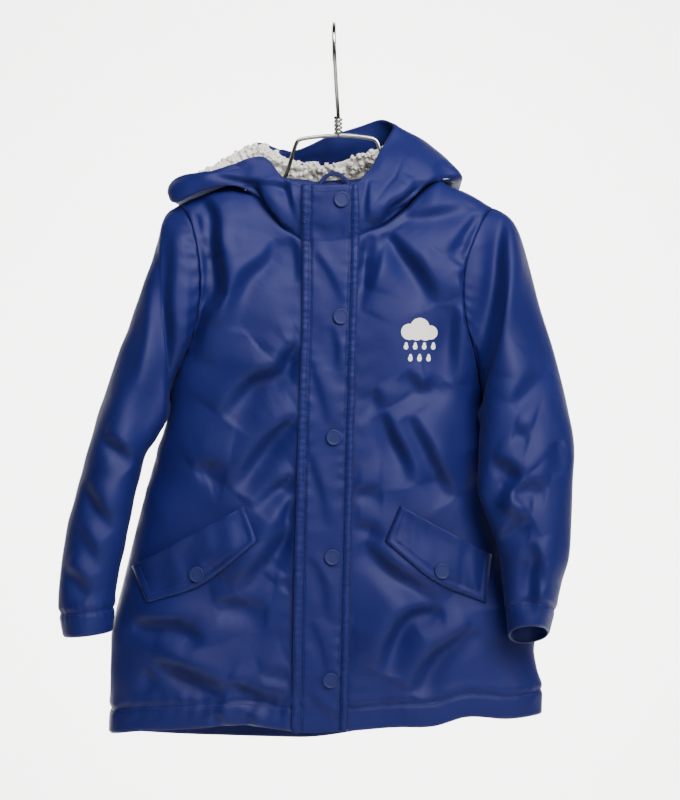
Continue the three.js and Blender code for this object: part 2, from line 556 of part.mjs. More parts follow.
// Radius of the largest ball inside the hood that touches its outer face at one point only
function roomInHood(i, j) {
  const point = hood[i][j];
  const normal = normalAt(point);
  let room = Infinity;
  for (const other of hood.flat()) {
    const offset = other.clone().sub(point);
    const height = -offset.dot(normal);
    if (height > 0.05 * offset.length()) room = Math.min(room, offset.lengthSq() / (2 * height));
  }
  return room;
}

// Lining and facing inside the hood, pressed thinner where the hood is folded sharply
const hoodEnd = hood[0].length - 1;
const liningFrom = CLOTH + LINING_GAP;
const pressed = (full) => (i, j) => {
  const room = PRESSED * roomInHood(i, j);
  return Math.max(liningFrom + LEAST_WALL, Math.min(full, room));
};
add('hood_lining', wall(hood, {
  columns: [1, HOOD_STATIONS - 1], rows: [LINING_ROW, hoodEnd - FACING_ROWS],
  mirrored: hoodMirrored, seam: CURVED_SEAM, depths: [liningFrom, pressed(liningFrom + LINING_WALL)],
}), SHERPA, 0.95, 0);
addCloth('hood_facing', wall(hood, {
  columns: [1, HOOD_STATIONS - 1], rows: [hoodEnd - FACING_ROWS, hoodEnd],
  mirrored: hoodMirrored, seam: CURVED_SEAM, depths: [liningFrom, pressed(liningFrom + FACING_WALL)],
}));

// Placket: columns across both fronts, carried up over the ends of the hood
const across = [
  [frontRight[2], hood[2]], [frontRight[1], hood[1]], [frontRight[0], hood[0]],
  [frontLeft[1], hood[HOOD_STATIONS - 1]], [frontLeft[2], hood[HOOD_STATIONS - 2]],
];
const placket = across.map(([front, collar]) => [...front, ...collar.slice(1)]);
const mirrored = (n) => n < 2;
const weltDepths = [-GAP - WELT_WALL, -GAP];
addCloth('placket', wall(placket, { columns: [1, 3], depths: [-GAP - PLACKET_WALL, -GAP], mirrored }));
addCloth('placket_welt_right', wall(placket, { columns: [0, 1], depths: weltDepths, mirrored }));
addCloth('placket_welt_left', wall(placket, { columns: [3, 4], depths: weltDepths, mirrored }));

// Outermost depth of a grid's face at one point seen from the front
function faceAt(grid, x, z) {
  let found = Infinity;
  for (let i = 0; i < grid.length - 1; i += 1) {
    for (let j = 0; j < grid[i].length - 1; j += 1) {
      const [a, b, c, d] = [grid[i][j], grid[i + 1][j], grid[i + 1][j + 1], grid[i][j + 1]];
      for (const [p, q, r] of [[a, b, c], [a, c, d]]) {
        const area = (q.x - p.x) * (r.z - p.z) - (r.x - p.x) * (q.z - p.z);
        const s = ((x - p.x) * (r.z - p.z) - (r.x - p.x) * (z - p.z)) / area;
        const t = ((q.x - p.x) * (z - p.z) - (x - p.x) * (q.z - p.z)) / area;
        const y = p.y + s * (q.y - p.y) + t * (r.y - p.y);
        if (s >= 0 && t >= 0 && s + t <= 1) found = Math.min(found, y);
      }
    }
  }
  return found;
}

// The same, taken as the outermost of three points close together
function nearestFace(grid, x, z) {
  return Math.min(...[-FLAP_REACH, 0, FLAP_REACH].map((shift) => faceAt(grid, x + shift, z + shift)));
}

// Pocket flap: a sheet over the front, with a soft point at its lower edge
function flap(front, row) {
  const faces = [[], []];
  for (let a = 0; a <= FLAP_ACROSS; a += 1) {
    const s = a / FLAP_ACROSS;
    const upper = [mix(row.upX, row.outX, s), mix(row.upZ, row.outZ, s)];
    const lower = s < 0.5
      ? [mix(row.inX, row.tipX, 2 * s), mix(row.inZ, row.tipZ, 2 * s)]
      : [mix(row.tipX, row.lowX, 2 * s - 1), mix(row.tipZ, row.lowZ, 2 * s - 1)];
    for (let d = 0; d <= FLAP_DOWN; d += 1) {
      const t = d / FLAP_DOWN;
      const [x, z] = [mix(upper[0], lower[0], t), mix(upper[1], lower[1], t)];
      const y = nearestFace(front, x, z) - FLAP_LIFT;
      faces[0].push(new THREE.Vector3(x, y - FLAP_WALL, z));
      faces[1].push(new THREE.Vector3(x, y, z));
    }
  }
  const per = FLAP_DOWN + 1;
  const id = (side, a, d) => side * (FLAP_ACROSS + 1) * per + a * per + d;
  const triangles = [];
  const quad = (a, b, c, d) => triangles.push([a, b, c], [a, c, d]);
  for (let a = 0; a < FLAP_ACROSS; a += 1) {
    for (let d = 0; d < FLAP_DOWN; d += 1) {
      quad(id(0, a, d), id(0, a + 1, d), id(0, a + 1, d + 1), id(0, a, d + 1));
      quad(id(1, a, d), id(1, a, d + 1), id(1, a + 1, d + 1), id(1, a + 1, d));
    }
    quad(id(0, a + 1, 0), id(0, a, 0), id(1, a, 0), id(1, a + 1, 0));
    quad(id(0, a, FLAP_DOWN), id(0, a + 1, FLAP_DOWN), id(1, a + 1, FLAP_DOWN), id(1, a, FLAP_DOWN));
  }
  for (let d = 0; d < FLAP_DOWN; d += 1) {
    const end = FLAP_ACROSS;
    quad(id(0, 0, d), id(0, 0, d + 1), id(1, 0, d + 1), id(1, 0, d));
    quad(id(0, end, d + 1), id(0, end, d), id(1, end, d), id(1, end, d + 1));
  }
  return { geometry: solid([...faces[0], ...faces[1]], triangles), outer: faces[0] };
}

// Snap cap: a shallow dome turned about its own axis, laid on the face under it
function snap(x, z, faceOf) {
  const reach = SNAP_RADIUS * 0.9;
  const rise = (faceOf(x, z + reach) - faceOf(x, z - reach)) / (2 * reach);
  const side = (faceOf(x + reach, z) - faceOf(x - reach, z)) / (2 * reach);
  const axis = new THREE.Vector3(side, -1, rise).normalize();
  const profile = [
    [0, 0], [SNAP_RADIUS - 0.6, 0], [SNAP_RADIUS, 0.7], [SNAP_RADIUS - 0.3, 1.6],
    [SNAP_RADIUS - 1.6, SNAP_HEIGHT - 0.3], [0, SNAP_HEIGHT],
  ].map(([r, h]) => new THREE.Vector2(r, h));
  const geometry = new THREE.LatheGeometry(profile, SNAP_SIDES);
  geometry.applyQuaternion(new THREE.Quaternion().setFromUnitVectors(new THREE.Vector3(0, 1, 0), axis));
  let lift = 0;
  for (let n = 0; n < SNAP_SIDES; n += 1) {
    const angle = n / SNAP_SIDES * 2 * Math.PI;
    const [dx, dz] = [SNAP_RADIUS * Math.cos(angle), SNAP_RADIUS * Math.sin(angle)];
    lift = Math.max(lift, faceOf(x, z) + side * dx + rise * dz - faceOf(x + dx, z + dz));
  }
  geometry.translate(x, faceOf(x, z) - lift - GAP, z);
  return geometry;
}

const placketFace = placket.map((column) => column.map(
  (point) => point.clone().addScaledVector(normalAt(point), GAP + PLACKET_WALL)));
PLACKET_SNAPS.forEach((row, n) => {
  const geometry = snap(row.x, row.z, (x, z) => faceAt(placketFace, x, z));
  add(`snap_placket_${n + 1}`, geometry, NAVY_DARK, 0.35, 0);
});
for (const row of FLAPS) {
  const { geometry, outer } = flap(row.side === 'right' ? frontRight : frontLeft, row);
  addCloth(`pocket_flap_${row.side}`, geometry);
  const grid = [];
  for (let a = 0; a <= FLAP_ACROSS; a += 1) {
    grid.push(outer.slice(a * (FLAP_DOWN + 1), (a + 1) * (FLAP_DOWN + 1)));
  }
  const button = snap(row.snapX, row.snapZ, (x, z) => faceAt(grid, x, z));
  add(`snap_flap_${row.side}`, button, NAVY_DARK, 0.35, 0);
}

// A bar of round or flat section drawn along a smooth path
function bar(points, shape, steps) {
  const path = new THREE.CatmullRomCurve3(points.map((p) => new THREE.Vector3(...p)), false, 'centripetal');
  return new THREE.ExtrudeGeometry(shape, { steps, bevelEnabled: false, extrudePath: path });
}

function round(radius, sides) {
  const corners = [];
  for (let n = 0; n < sides; n += 1) {
    const angle = (n + 0.5) / sides * 2 * Math.PI;
    corners.push(new THREE.Vector2(radius * Math.cos(angle), radius * Math.sin(angle)));
  }
  return new THREE.Shape(corners);
}

// Hang loop: a short tape standing in an arch at the inside of the back neck
const LOOP_PATH = [[-14, 30.3, -156], [-13, 30, -147], [-8, 29.9, -140], [0, 29.9, -137],
  [8, 29.9, -140], [14, 30, -147], [15, 30.1, -156]];
const tape = new THREE.Shape([[-1, -1], [1, -1], [1, 1], [-1, 1]]
  .map(([a, b]) => new THREE.Vector2(a * TAPE_THICK / 2, b * TAPE_WIDE / 2)));
addCloth('hang_loop', bar(LOOP_PATH, tape, 24));

// Hanger: hook over the rod, wrapped neck, and the shoulder wire that closes on itself below the hook
const hookPath = [];
for (const degrees of [-35, -20, 0, 20, 40, 60, 80, 100, 120, 140, 160, 180]) {
  const angle = degrees / 180 * Math.PI;
  hookPath.push([0, (ROD + WIRE) * Math.cos(angle), -ROD + (ROD + WIRE) * Math.sin(angle)]);
}
hookPath.push([0.6, -18.5, -32], [1.6, -11, -50], [2.8, -3.5, -68], [4, 0, -86], [4, 0, -104]);
const SHOULDER_PATH = [[3, 0, -104], [-8, 0, -104.5], [-30, 0, -107.3], [-35, 0, -110], [-40.5, 0, -126],
  [-46, 0, -142], [-52, 0, -148.5], [-70, 0, -153.5], [-100, 0, -160.5], [-126, 0, -170], [-146, 0, -179.5],
  [-153, 0, -186], [-151, 0, -192], [-140, 0, -194], [-60, 0, -195], [0, 0, -195.5], [60, 0, -195],
  [142, 0, -194], [152, 0, -193], [155.5, 0, -189.5], [149, 0, -184], [128, 0, -172], [100, 0, -160],
  [70, 0, -152], [54, 0, -147], [48.5, 0, -142], [46, 0, -126], [41, 0, -110], [36, 0, -106.8],
  [14, 0, -104.2], [5, 0, -104]];
const JOINT = [4, 0, -104];
const COIL_STEPS = 12;
const coilPath = [];
for (let n = 0; n <= COIL_TURNS * COIL_STEPS; n += 1) {
  const angle = n / COIL_STEPS * 2 * Math.PI;
  coilPath.push([
    JOINT[0] + COIL_RADIUS * Math.cos(angle),
    JOINT[1] + COIL_RADIUS * Math.sin(angle),
    JOINT[2] + n / (COIL_TURNS * COIL_STEPS) * COIL_HEIGHT,
  ]);
}

function toManifold(geometry) {
  const plain = geometry.index ? geometry.toNonIndexed() : geometry;
  const points = [];
  const lookup = new Map();
  const triVerts = [];
  const position = plain.getAttribute('position');
  for (let n = 0; n < position.count; n += 1) {
    const p = new THREE.Vector3().fromBufferAttribute(position, n);
    const key = keyOf(p);
    if (!lookup.has(key)) {
      lookup.set(key, points.length);
      points.push(p);
    }
    triVerts.push(lookup.get(key));
  }
  return new manifold.Manifold(new manifold.Mesh({
    numProp: 3,
    vertProperties: new Float32Array(points.flatMap((p) => p.toArray())),
    triVerts: new Uint32Array(triVerts),
  }));
}

const wires = [
  bar(hookPath, round(WIRE, WIRE_SIDES), 34),
  bar(SHOULDER_PATH, round(WIRE, WIRE_SIDES), 72),
  bar(coilPath, round(WIRE, COIL_WIRE_SIDES), 40),
];
const joined = wires.map(toManifold).reduce((sum, piece) => sum.add(piece)).getMesh();
const hanger = new THREE.BufferGeometry();
hanger.setAttribute('position', new THREE.Float32BufferAttribute(joined.vertProperties, joined.numProp));
hanger.setIndex(Array.from(joined.triVerts));
add('hanger', hanger, CHROME, 0.22, 1);

export default group;
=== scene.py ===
import math

import bpy
import numpy as np
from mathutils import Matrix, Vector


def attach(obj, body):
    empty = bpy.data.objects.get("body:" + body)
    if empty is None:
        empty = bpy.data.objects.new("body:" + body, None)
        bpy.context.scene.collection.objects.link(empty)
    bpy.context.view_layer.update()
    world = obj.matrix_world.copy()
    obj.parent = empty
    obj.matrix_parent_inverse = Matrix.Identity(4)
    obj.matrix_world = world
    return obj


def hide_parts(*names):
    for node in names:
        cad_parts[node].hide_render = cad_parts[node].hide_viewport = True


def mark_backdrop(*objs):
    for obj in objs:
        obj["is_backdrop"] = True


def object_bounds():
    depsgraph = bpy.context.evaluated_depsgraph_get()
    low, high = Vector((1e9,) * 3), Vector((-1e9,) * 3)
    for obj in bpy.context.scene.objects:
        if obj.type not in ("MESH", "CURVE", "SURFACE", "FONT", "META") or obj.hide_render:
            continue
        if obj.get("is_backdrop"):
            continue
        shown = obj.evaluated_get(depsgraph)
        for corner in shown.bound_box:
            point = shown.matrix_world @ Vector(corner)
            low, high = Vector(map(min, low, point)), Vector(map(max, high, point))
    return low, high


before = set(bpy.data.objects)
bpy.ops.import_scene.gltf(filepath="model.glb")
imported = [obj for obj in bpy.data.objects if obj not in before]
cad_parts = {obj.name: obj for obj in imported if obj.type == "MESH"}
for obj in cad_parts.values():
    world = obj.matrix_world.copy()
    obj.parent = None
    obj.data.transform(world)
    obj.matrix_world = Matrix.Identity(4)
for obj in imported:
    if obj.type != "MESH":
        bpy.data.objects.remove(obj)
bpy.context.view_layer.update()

# Body panels: two fronts and a back of a polyester knit coated with soft polyurethane, 2 mm
# thick with its padding, cut flat and sewn at side and shoulder. It hangs from the hanger's
# shoulders, so folds run from there and from the pull of the placket, hem turned up and stitched.
CLOTH = 2.0
TURN_UP = 2.6
ROUNDNESS = 2.6
YOKE = 0.2
UNDERARM = 0.66
STEP = 2.3

CENTRE = [
    [0, -13, -46, -664], [0.1, -12, -48, -618], [0.27, -11, -49, -541], [0.57, -8, -48, -402],
    [0.82, -5, -45, -290], [0.93, -4, -42, -240], [1, -4, -38, -208]]
SIDE_RIGHT = [
    [0, -215, 6, -671], [0.057, -214, 6, -643], [0.15, -213, 6, -596], [0.2, -212, 7, -573],
    [0.3, -201, 8, -527], [0.41, -187, 8, -470], [0.53, -171, 8, -412], [0.595, -160, 6, -380],
    [0.63, -156, 2, -362], [0.66, -155, -4, -348]]
SIDE_LEFT = [
    [0, 198, 6, -652], [0.057, 198, 6, -630], [0.1, 193, 6, -607], [0.13, 191, 6, -593],
    [0.165, 193, 7, -576], [0.22, 189, 8, -550], [0.3, 181, 10, -510], [0.4, 171, 11, -464],
    [0.51, 157, 11, -412], [0.58, 146, 9, -380], [0.62, 141, 4, -364], [0.66, 142, -4, -348]]
ARMHOLE_RIGHT = [
    [0.66, -155, -4, -348], [0.72, -138, -22, -310], [0.77, -129, -30, -282], [0.82, -125, -33, -253],
    [0.88, -127, -32, -220], [0.93, -133, -26, -193], [0.97, -140, -18, -178], [1, -146, -10, -170]]
ARMHOLE_LEFT = [
    [0.66, 142, -4, -348], [0.72, 130, -24, -305], [0.77, 123, -32, -278], [0.82, 121, -34, -254],
    [0.88, 123, -33, -230], [0.93, 131, -30, -206], [0.97, 141, -21, -185], [1, 150, -10, -173]]
BACK_ARMHOLE_RIGHT = [
    [0.66, -155, -4, -348], [0.72, -146, 16, -318], [0.77, -137, 27, -287], [0.82, -131, 32, -255],
    [0.88, -131, 32, -220], [0.93, -135, 23, -190], [0.97, -140, 10, -175], [1, -146, -10, -170]]
BACK_ARMHOLE_LEFT = [
    [0.66, 142, -4, -348], [0.72, 134, 16, -318], [0.77, 127, 27, -287], [0.82, 124, 32, -255],
    [0.88, 126, 32, -222], [0.93, 133, 23, -194], [0.97, 141, 10, -179], [1, 150, -10, -173]]
HEM_RIGHT = [
    [0, -13, -664], [1, -31, -664], [2, -40, -663], [5, -86, -658], [8, -132, -662], [11, -183, -666],
    [13, -215, -671]]
HEM_LEFT = [
    [0, -13, -664], [1, 5, -663], [2, 13, -663], [5, 60, -660], [7, 92, -659], [9, 124, -651],
    [11, 162, -654], [13, 198, -652]]
TOP_RIGHT = [
    [0, -4, -38, -208], [1, -22, -38, -207], [2, -30, -37, -205], [3, -40, -35, -199], [4, -49, -33, -193],
    [5, -59, -29, -180], [6, -68, -25, -170], [7, -79, -20, -160], [8, -88, -14, -155], [9, -97, -9, -151],
    [10, -109, -8, -155], [11, -121, -9, -160], [12, -134, -9, -165], [13, -146, -10, -170]]
TOP_LEFT = [
    [0, -4, -38, -208], [1, 16, -38, -204], [2, 24, -37, -201], [3, 33, -35, -197], [4, 41, -33, -194],
    [5, 49, -30, -190], [6, 58, -27, -183], [7, 68, -22.5, -174], [8, 80, -17, -161], [9, 98, -9, -148],
    [10, 110, -8, -153], [11, 124, -8, -158], [12, 137, -9, -165], [13, 150, -10, -173]]
BACK_CENTRE = [[0, 38], [0.3, 41], [0.6, 42], [0.85, 43], [1, 34]]
BACK_HEM = [
    [0, -215, -671], [3, -150, -677], [7, -55, -681], [9, -10, -680], [12, 60, -668], [15, 130, -660],
    [18, 198, -652]]
BACK_TOP = [
    [0, -146, -10, -170], [1, -134, -9, -165], [2, -121, -9, -160], [3, -109, -8, -155], [4, -97, -9, -151],
    [5, -90, 6, -147], [6, -76, 17, -147], [7, -56, 26, -149], [8, -30, 32, -152], [9, 0, 34, -153],
    [10, 30, 32, -152], [11, 57, 26, -149], [12, 77, 17, -146], [13, 91, 6, -145], [14, 98, -9, -148],
    [15, 110, -8, -153], [16, 124, -8, -158], [17, 137, -9, -165], [18, 150, -10, -173]]

# Folds as depth, half width, ridge beside it (sign: side, size: share of the depth), then points
FRONT_RIGHT_FOLDS = [
    (5.5, 8, 0.55, [-123, -162, -111, -182, -110, -207, -105, -239, -104, -255, -111, -266, -120, -275,
                    -126, -295, -131, -319]),
    (3, 7, -0.5, [-126, -180, -126, -204, -122, -224]),
    (3.5, 8, 0.5, [-56, -204, -64, -223, -83, -240, -94, -263, -100, -290]),
    (2.5, 7, -0.4, [-41, -202, -33, -218, -29, -247]),
    (4.5, 8, 0.6, [-30, -303, -44, -311, -52, -327, -75, -335, -91, -351, -105, -370]),
    (4.2, 8, 0.55, [-32, -369, -51, -381, -69, -400, -83, -420, -93, -438]),
    (2.6, 6, 0.5, [-36, -424, -58, -438, -74, -457]),
    (3.2, 7, 0.5, [-38, -444, -50, -469, -67, -489]),
    (4.2, 8, 0.6, [-38, -472, -53, -487, -72, -510, -93, -531]),
    (1.6, 5, 0.4, [-43, -520, -51, -529]),
    (2.4, 8, 0.5, [-131, -422, -119, -415, -99, -418]),
    (4.5, 8, 0.5, [-190, -563, -163, -563, -139, -564, -127, -574, -122, -586]),
    (4.2, 8, 0.6, [-169, -599, -147, -603, -124, -613, -108, -621, -98, -632]),
    (2.2, 6, 0.4, [-175, -606, -164, -622]),
    (3.2, 7, -0.5, [-100, -615, -76, -626, -44, -632]),
    (3.2, 8, 0.5, [-111, -546, -92, -542, -60, -546]),
    (1.8, 6, 0.4, [-67, -610, -44, -603]),
    (1.6, 5, 0.5, [-112, -646, -96, -660]),
    (1.6, 5, 0.5, [-83, -647, -72, -661])]
FRONT_LEFT_FOLDS = [
    (4.5, 8, -0.55, [52, -197, 61, -212, 78, -231, 88, -247, 96, -266]),
    (2.6, 7, 0.5, [39, -203, 24, -249]),
    (3, 7, 0.5, [48, -207, 32, -249, 22, -270]),
    (2.4, 7, 0.6, [67, -328, 84, -343, 95, -331]),
    (3.2, 8, 0.5, [113, -268, 112, -317, 110, -339]),
    (2.2, 7, -0.5, [36, -345, 48, -364]),
    (4.2, 8, -0.6, [45, -366, 57, -390, 69, -412, 74, -434]),
    (4.2, 8, -0.6, [70, -369, 86, -396, 100, -424, 113, -446]),
    (2, 6, 0.5, [17, -440, 35, -438, 45, -438]),
    (2, 6, 0.5, [17, -472, 35, -472, 47, -485]),
    (4.2, 8, -0.5, [27, -486, 53, -510, 82, -529, 104, -544]),
    (4.5, 8, 0.6, [103, -549, 69, -553, 55, -570, 48, -588, 43, -610]),
    (4.2, 8, 0.6, [130, -565, 100, -586, 88, -597, 71, -627]),
    (2.4, 7, -0.5, [64, -182, 94, -179, 132, -172]),
    (3, 7, 0.5, [135, -179, 123, -198, 106, -223]),
    (16, 30, 0, [152, -398, 160, -430, 165, -455, 176, -500, 182, -545])]
BACK_FOLDS = [
    (4.5, 10, 0.5, [-120, -250, -80, -290, -30, -318, 30, -335]),
    (4, 9, 0.5, [112, -230, 88, -285, 60, -340, 28, -400]),
    (4.5, 10, -0.5, [-140, -395, -110, -430, -70, -460, -20, -490]),
    (3.5, 9, 0.5, [140, -440, 112, -490, 86, -540, 60, -600]),
    (4, 9, -0.5, [-160, -520, -130, -560, -100, -600, -84, -640]),
    (3, 8, 0.5, [20, -470, 38, -520, 44, -580, 30, -630]),
    (3, 8, -0.5, [-40, -190, -60, -230, -66, -280]),
    (3, 8, 0.5, [60, -185, 74, -220, 72, -262]),
    (2.5, 8, 0.5, [-30, -560, -44, -600, -40, -640]),
    (3, 9, -0.5, [-10, -350, -6, -400, -20, -440])]


def smooth(table, where, width=None):
    """Smooth value of a table's columns at places along its first column."""
    table = np.asarray(table, float)
    keys, values = table[:, 0], table[:, 1:]
    where = np.atleast_1d(np.asarray(where, float))
    n = np.clip(np.searchsorted(keys, where, side="left") - 1, 0, len(keys) - 2)
    before, after = np.maximum(n - 1, 0), np.minimum(n + 2, len(keys) - 1)
    span = keys[n + 1] - keys[n]
    t = ((where - keys[n]) / span)[:, None]
    a, b = values[n], values[n + 1]
    slope_a = (b - values[before]) * (span / (keys[n + 1] - keys[before]))[:, None]
    slope_b = (values[after] - a) * (span / (keys[after] - keys[n]))[:, None]
    return (a * (2 * t**3 - 3 * t**2 + 1) + slope_a * (t**3 - 2 * t**2 + t)
            + b * (3 * t**2 - 2 * t**3) + slope_b * (t**3 - t**2))


def spaced(low, high, length):
    """Values from low to high, about STEP mm apart on a line that is so long."""
    return np.linspace(low, high, max(2, int(round(length / STEP)) + 1))


def fold_depth(x, z, folds):
    """How far the folds push the cloth in at points of the view that they were read from."""
    depth = np.zeros_like(x)
    for amount, half, ridge, flat in folds:
        points = np.array(flat, float).reshape(-1, 2)
        length = np.r_[0, np.cumsum(np.hypot(*np.diff(points, axis=0).T))]
        dense = smooth(np.c_[length, points], np.linspace(0, length[-1], max(5, int(length[-1] / 9))))
        nearest = np.full(x.shape, 1e9)
        along = np.zeros_like(x)
        side = np.ones_like(x)
        for n, (p, q) in enumerate(zip(dense[:-1], dense[1:])):
            d = q - p
            t = np.clip(((x - p[0]) * d[0] + (z - p[1]) * d[1]) / (d @ d), 0, 1)
            dx, dz = x - p[0] - t * d[0], z - p[1] - t * d[1]
            distance = np.hypot(dx, dz)
            closer = distance < nearest
            nearest = np.where(closer, distance, nearest)
            along = np.where(closer, (n + t) / (len(dense) - 1), along)
            side = np.where(closer, np.sign(d[0] * dz - d[1] * dx), side)
        taper = np.clip(np.sin(np.pi * along), 0, 1) ** 0.6
        width = half * (0.75 + 0.5 * along)
        chord = dense[-1] - dense[0]
        lit = 1 if -chord[1] * 0.45 + chord[0] * 0.9 > 0 else -1
        u = side * lit * nearest / width
        u = np.where(u > 1, 1 + (u - 1) / 2.2, np.where(u < -1, -1 + (u + 1) / 1.3, u))
        step = -u * np.exp(0.5 - u**2 / 2)
        trough = np.exp(-np.abs(nearest / width) ** 1.6)
        depth += amount * taper * (abs(ridge) * 2.5 * step + (1 - 1.3 * abs(ridge)) * trough)
    return depth


def waver(points, size, seed):
    """Smooth unevenness of about one unit over hollows and humps of the given size."""
    rng = np.random.default_rng(seed)
    total = np.zeros(points.shape[:-1])
    for _ in range(9):
        direction = rng.normal(size=3)
        direction *= 2 * math.pi / (size * rng.uniform(0.7, 1.5)) / np.linalg.norm(direction)
        total += np.sin(points @ direction + rng.uniform(0, 2 * math.pi))
    return total / 3


def section(u):
    return (1 - np.clip(u, 0, 1) ** ROUNDNESS) ** (1 / ROUNDNESS)


def yoke(v):
    t = np.minimum(1, (1 - v) / YOKE)
    return 1 - np.sqrt(1 - (1 - t) ** 2)


def between(hem, top, near, far, u, v):
    """x and z of a panel between its four seam lines; hem and top by column, near and far by row."""
    corner = [near[0], near[-1], far[0], far[-1]]
    base = hem[:, None] * (1 - v) + top[:, None] * v
    return (base + (1 - u) ** 2 * (near - (corner[0] * (1 - v) + corner[1] * v))
            + u**2 * (far - (corner[2] * (1 - v) + corner[3] * v)))


def side_at(side, armhole, v):
    low = v <= UNDERARM
    return np.vstack([smooth(side, v[low]), smooth(armhole, v[~low])])


def front_surface(columns, rows, side, armhole, hem_line, top_line):
    """Outer face of a front, as columns by rows of points in millimetres."""
    near, far = smooth(CENTRE, rows), side_at(side, armhole, rows)
    hem, top = smooth(hem_line, columns), smooth(top_line, columns)
    u_hem = (hem[:, 0] - CENTRE[0][1]) / (side[0][1] - CENTRE[0][1])
    u_top = (top[:, 0] - CENTRE[-1][1]) / (armhole[-1][1] - CENTRE[-1][1])
    u = u_hem[:, None] * (1 - rows) + u_top[:, None] * rows
    ends = [np.array(line, float) for line in (CENTRE, side, armhole)]
    near_x, near_z, far_x, far_z = near[:, 0], near[:, 2], far[:, 0], far[:, 2]
    x = (hem[:, :1] * (1 - rows) + top[:, :1] * rows
         + (1 - u) ** 2 * (near_x - (ends[0][0, 1] * (1 - rows) + ends[0][-1, 1] * rows))
         + u**2 * (far_x - (ends[1][0, 1] * (1 - rows) + ends[2][-1, 1] * rows)))
    z = (hem[:, 1:2] * (1 - rows) + top[:, 2:3] * rows
         + (1 - u) ** 2 * (near_z - (ends[0][0, 3] * (1 - rows) + ends[0][-1, 3] * rows))
         + u**2 * (far_z - (ends[1][0, 3] * (1 - rows) + ends[2][-1, 3] * rows)))
    top_base = armhole[-1][2] + (CENTRE[-1][2] - armhole[-1][2]) * section(u_top)
    y = far[:, 1] + (near[:, 1] - far[:, 1]) * section(u) + yoke(rows) * (top[:, 1] - top_base)[:, None]
    return np.stack([x, y, z], axis=-1)


def back_surface(columns, rows):
    near = side_at(SIDE_RIGHT, BACK_ARMHOLE_RIGHT, rows)
    far = side_at(SIDE_LEFT, BACK_ARMHOLE_LEFT, rows)
    hem, top = smooth(BACK_HEM, columns), smooth(BACK_TOP, columns)
    low, high = np.array(SIDE_RIGHT[0][1:]), np.array(ARMHOLE_RIGHT[-1][1:])
    far_low, far_high = np.array(SIDE_LEFT[0][1:]), np.array(ARMHOLE_LEFT[-1][1:])
    u_hem = (hem[:, 0] - low[0]) / (far_low[0] - low[0])
    u_top = (top[:, 0] - high[0]) / (far_high[0] - high[0])
    u = u_hem[:, None] * (1 - rows) + u_top[:, None] * rows
    out = []
    for axis, hem_axis in ((0, 0), (2, 1)):
        out.append(hem[:, hem_axis:hem_axis + 1] * (1 - rows) + top[:, axis:axis + 1] * rows
                   + (1 - u) ** 2 * (near[:, axis] - (low[axis] * (1 - rows) + high[axis] * rows))
                   + u**2 * (far[:, axis] - (far_low[axis] * (1 - rows) + far_high[axis] * rows)))
    middle = smooth(BACK_CENTRE, rows)[:, 0]
    top_base = far_high[1] + (BACK_CENTRE[-1][1] - far_high[1]) * section(np.abs(2 * u_top - 1))
    sides = near[:, 1] + (far[:, 1] - near[:, 1]) * u
    y = sides + (middle - sides) * section(np.abs(2 * u - 1)) + yoke(rows) * (top[:, 1] - top_base)[:, None]
    return np.stack([out[0], y, out[1]], axis=-1)


def normals(grid, outward, closed=False):
    """Unit normals of a grid of points, turned outward by the sign given."""
    if closed:
        ring = np.concatenate([grid[-1:], grid, grid[:1]])
        across = (ring[2:] - ring[:-2]) / 2
    else:
        across = np.gradient(grid, axis=0)
    normal = np.cross(across, np.gradient(grid, axis=1)) * outward
    return normal / np.maximum(np.linalg.norm(normal, axis=-1, keepdims=True), 1e-9)


def edge_distance(grid, axis, from_end=False):
    """Distance in millimetres from one edge of the grid, along its lines."""
    steps = np.linalg.norm(np.diff(grid, axis=axis), axis=-1)
    pad = [(0, 0), (0, 0)]
    if from_end:
        pad[axis] = (0, 1)
        return np.flip(np.cumsum(np.flip(np.pad(steps, pad), axis), axis), axis)
    pad[axis] = (1, 0)
    return np.cumsum(np.pad(steps, pad), axis)


def groove(distance, width, depth):
    return -depth * np.exp(-((distance / width) ** 2))


def pucker(distance, along, pitch, reach, depth, points, seed):
    """Short wrinkles that start at a seam and die out, as the thread draws the cloth in."""
    phase = 2 * math.pi * along / pitch + 2.2 * waver(points, 5 * pitch, seed)
    fade = np.clip(distance / (0.25 * reach), 0, 1) * np.exp(-((distance / reach) ** 2))
    strength = 0.6 + 0.5 * waver(points, 9 * pitch, seed + 1)
    return depth * fade * strength * np.sin(phase)


def grid_object(name, grid, thickness, outward, closed=False):
    """A mesh over a grid of points in millimetres, thickened inward from its outer face."""
    columns, rows = grid.shape[:2]
    ids = np.arange(columns * rows).reshape(columns, rows)
    if closed:
        ids = np.vstack([ids, ids[:1]])
    a, b, c, d = ids[:-1, :-1], ids[1:, :-1], ids[1:, 1:], ids[:-1, 1:]
    order = (a, b, c, d) if outward > 0 else (a, d, c, b)
    faces = np.stack([o.ravel() for o in order], axis=-1)
    mesh = bpy.data.meshes.new(name)
    mesh.from_pydata((grid.reshape(-1, 3) / 1000).tolist(), [], faces.tolist())
    mesh.polygons.foreach_set("use_smooth", np.ones(len(faces), bool))
    mesh.update()
    made = bpy.data.objects.new(name, mesh)
    bpy.context.scene.collection.objects.link(made)
    if thickness:
        shell = made.modifiers.new("wall", "SOLIDIFY")
        shell.thickness = thickness / 1000
        shell.offset = -1
    return made


def grid_area(grid, closed=False):
    """Area of a grid in square metres."""
    if closed:
        grid = np.concatenate([grid, grid[:1]])
    a, b, c, d = grid[:-1, :-1], grid[1:, :-1], grid[1:, 1:], grid[:-1, 1:]
    return (np.linalg.norm(np.cross(c - a, d - b), axis=-1) / 2).sum() / 1e6


rows = np.unique(np.r_[spaced(0, UNDERARM, 325), spaced(UNDERARM, 1, 180)])


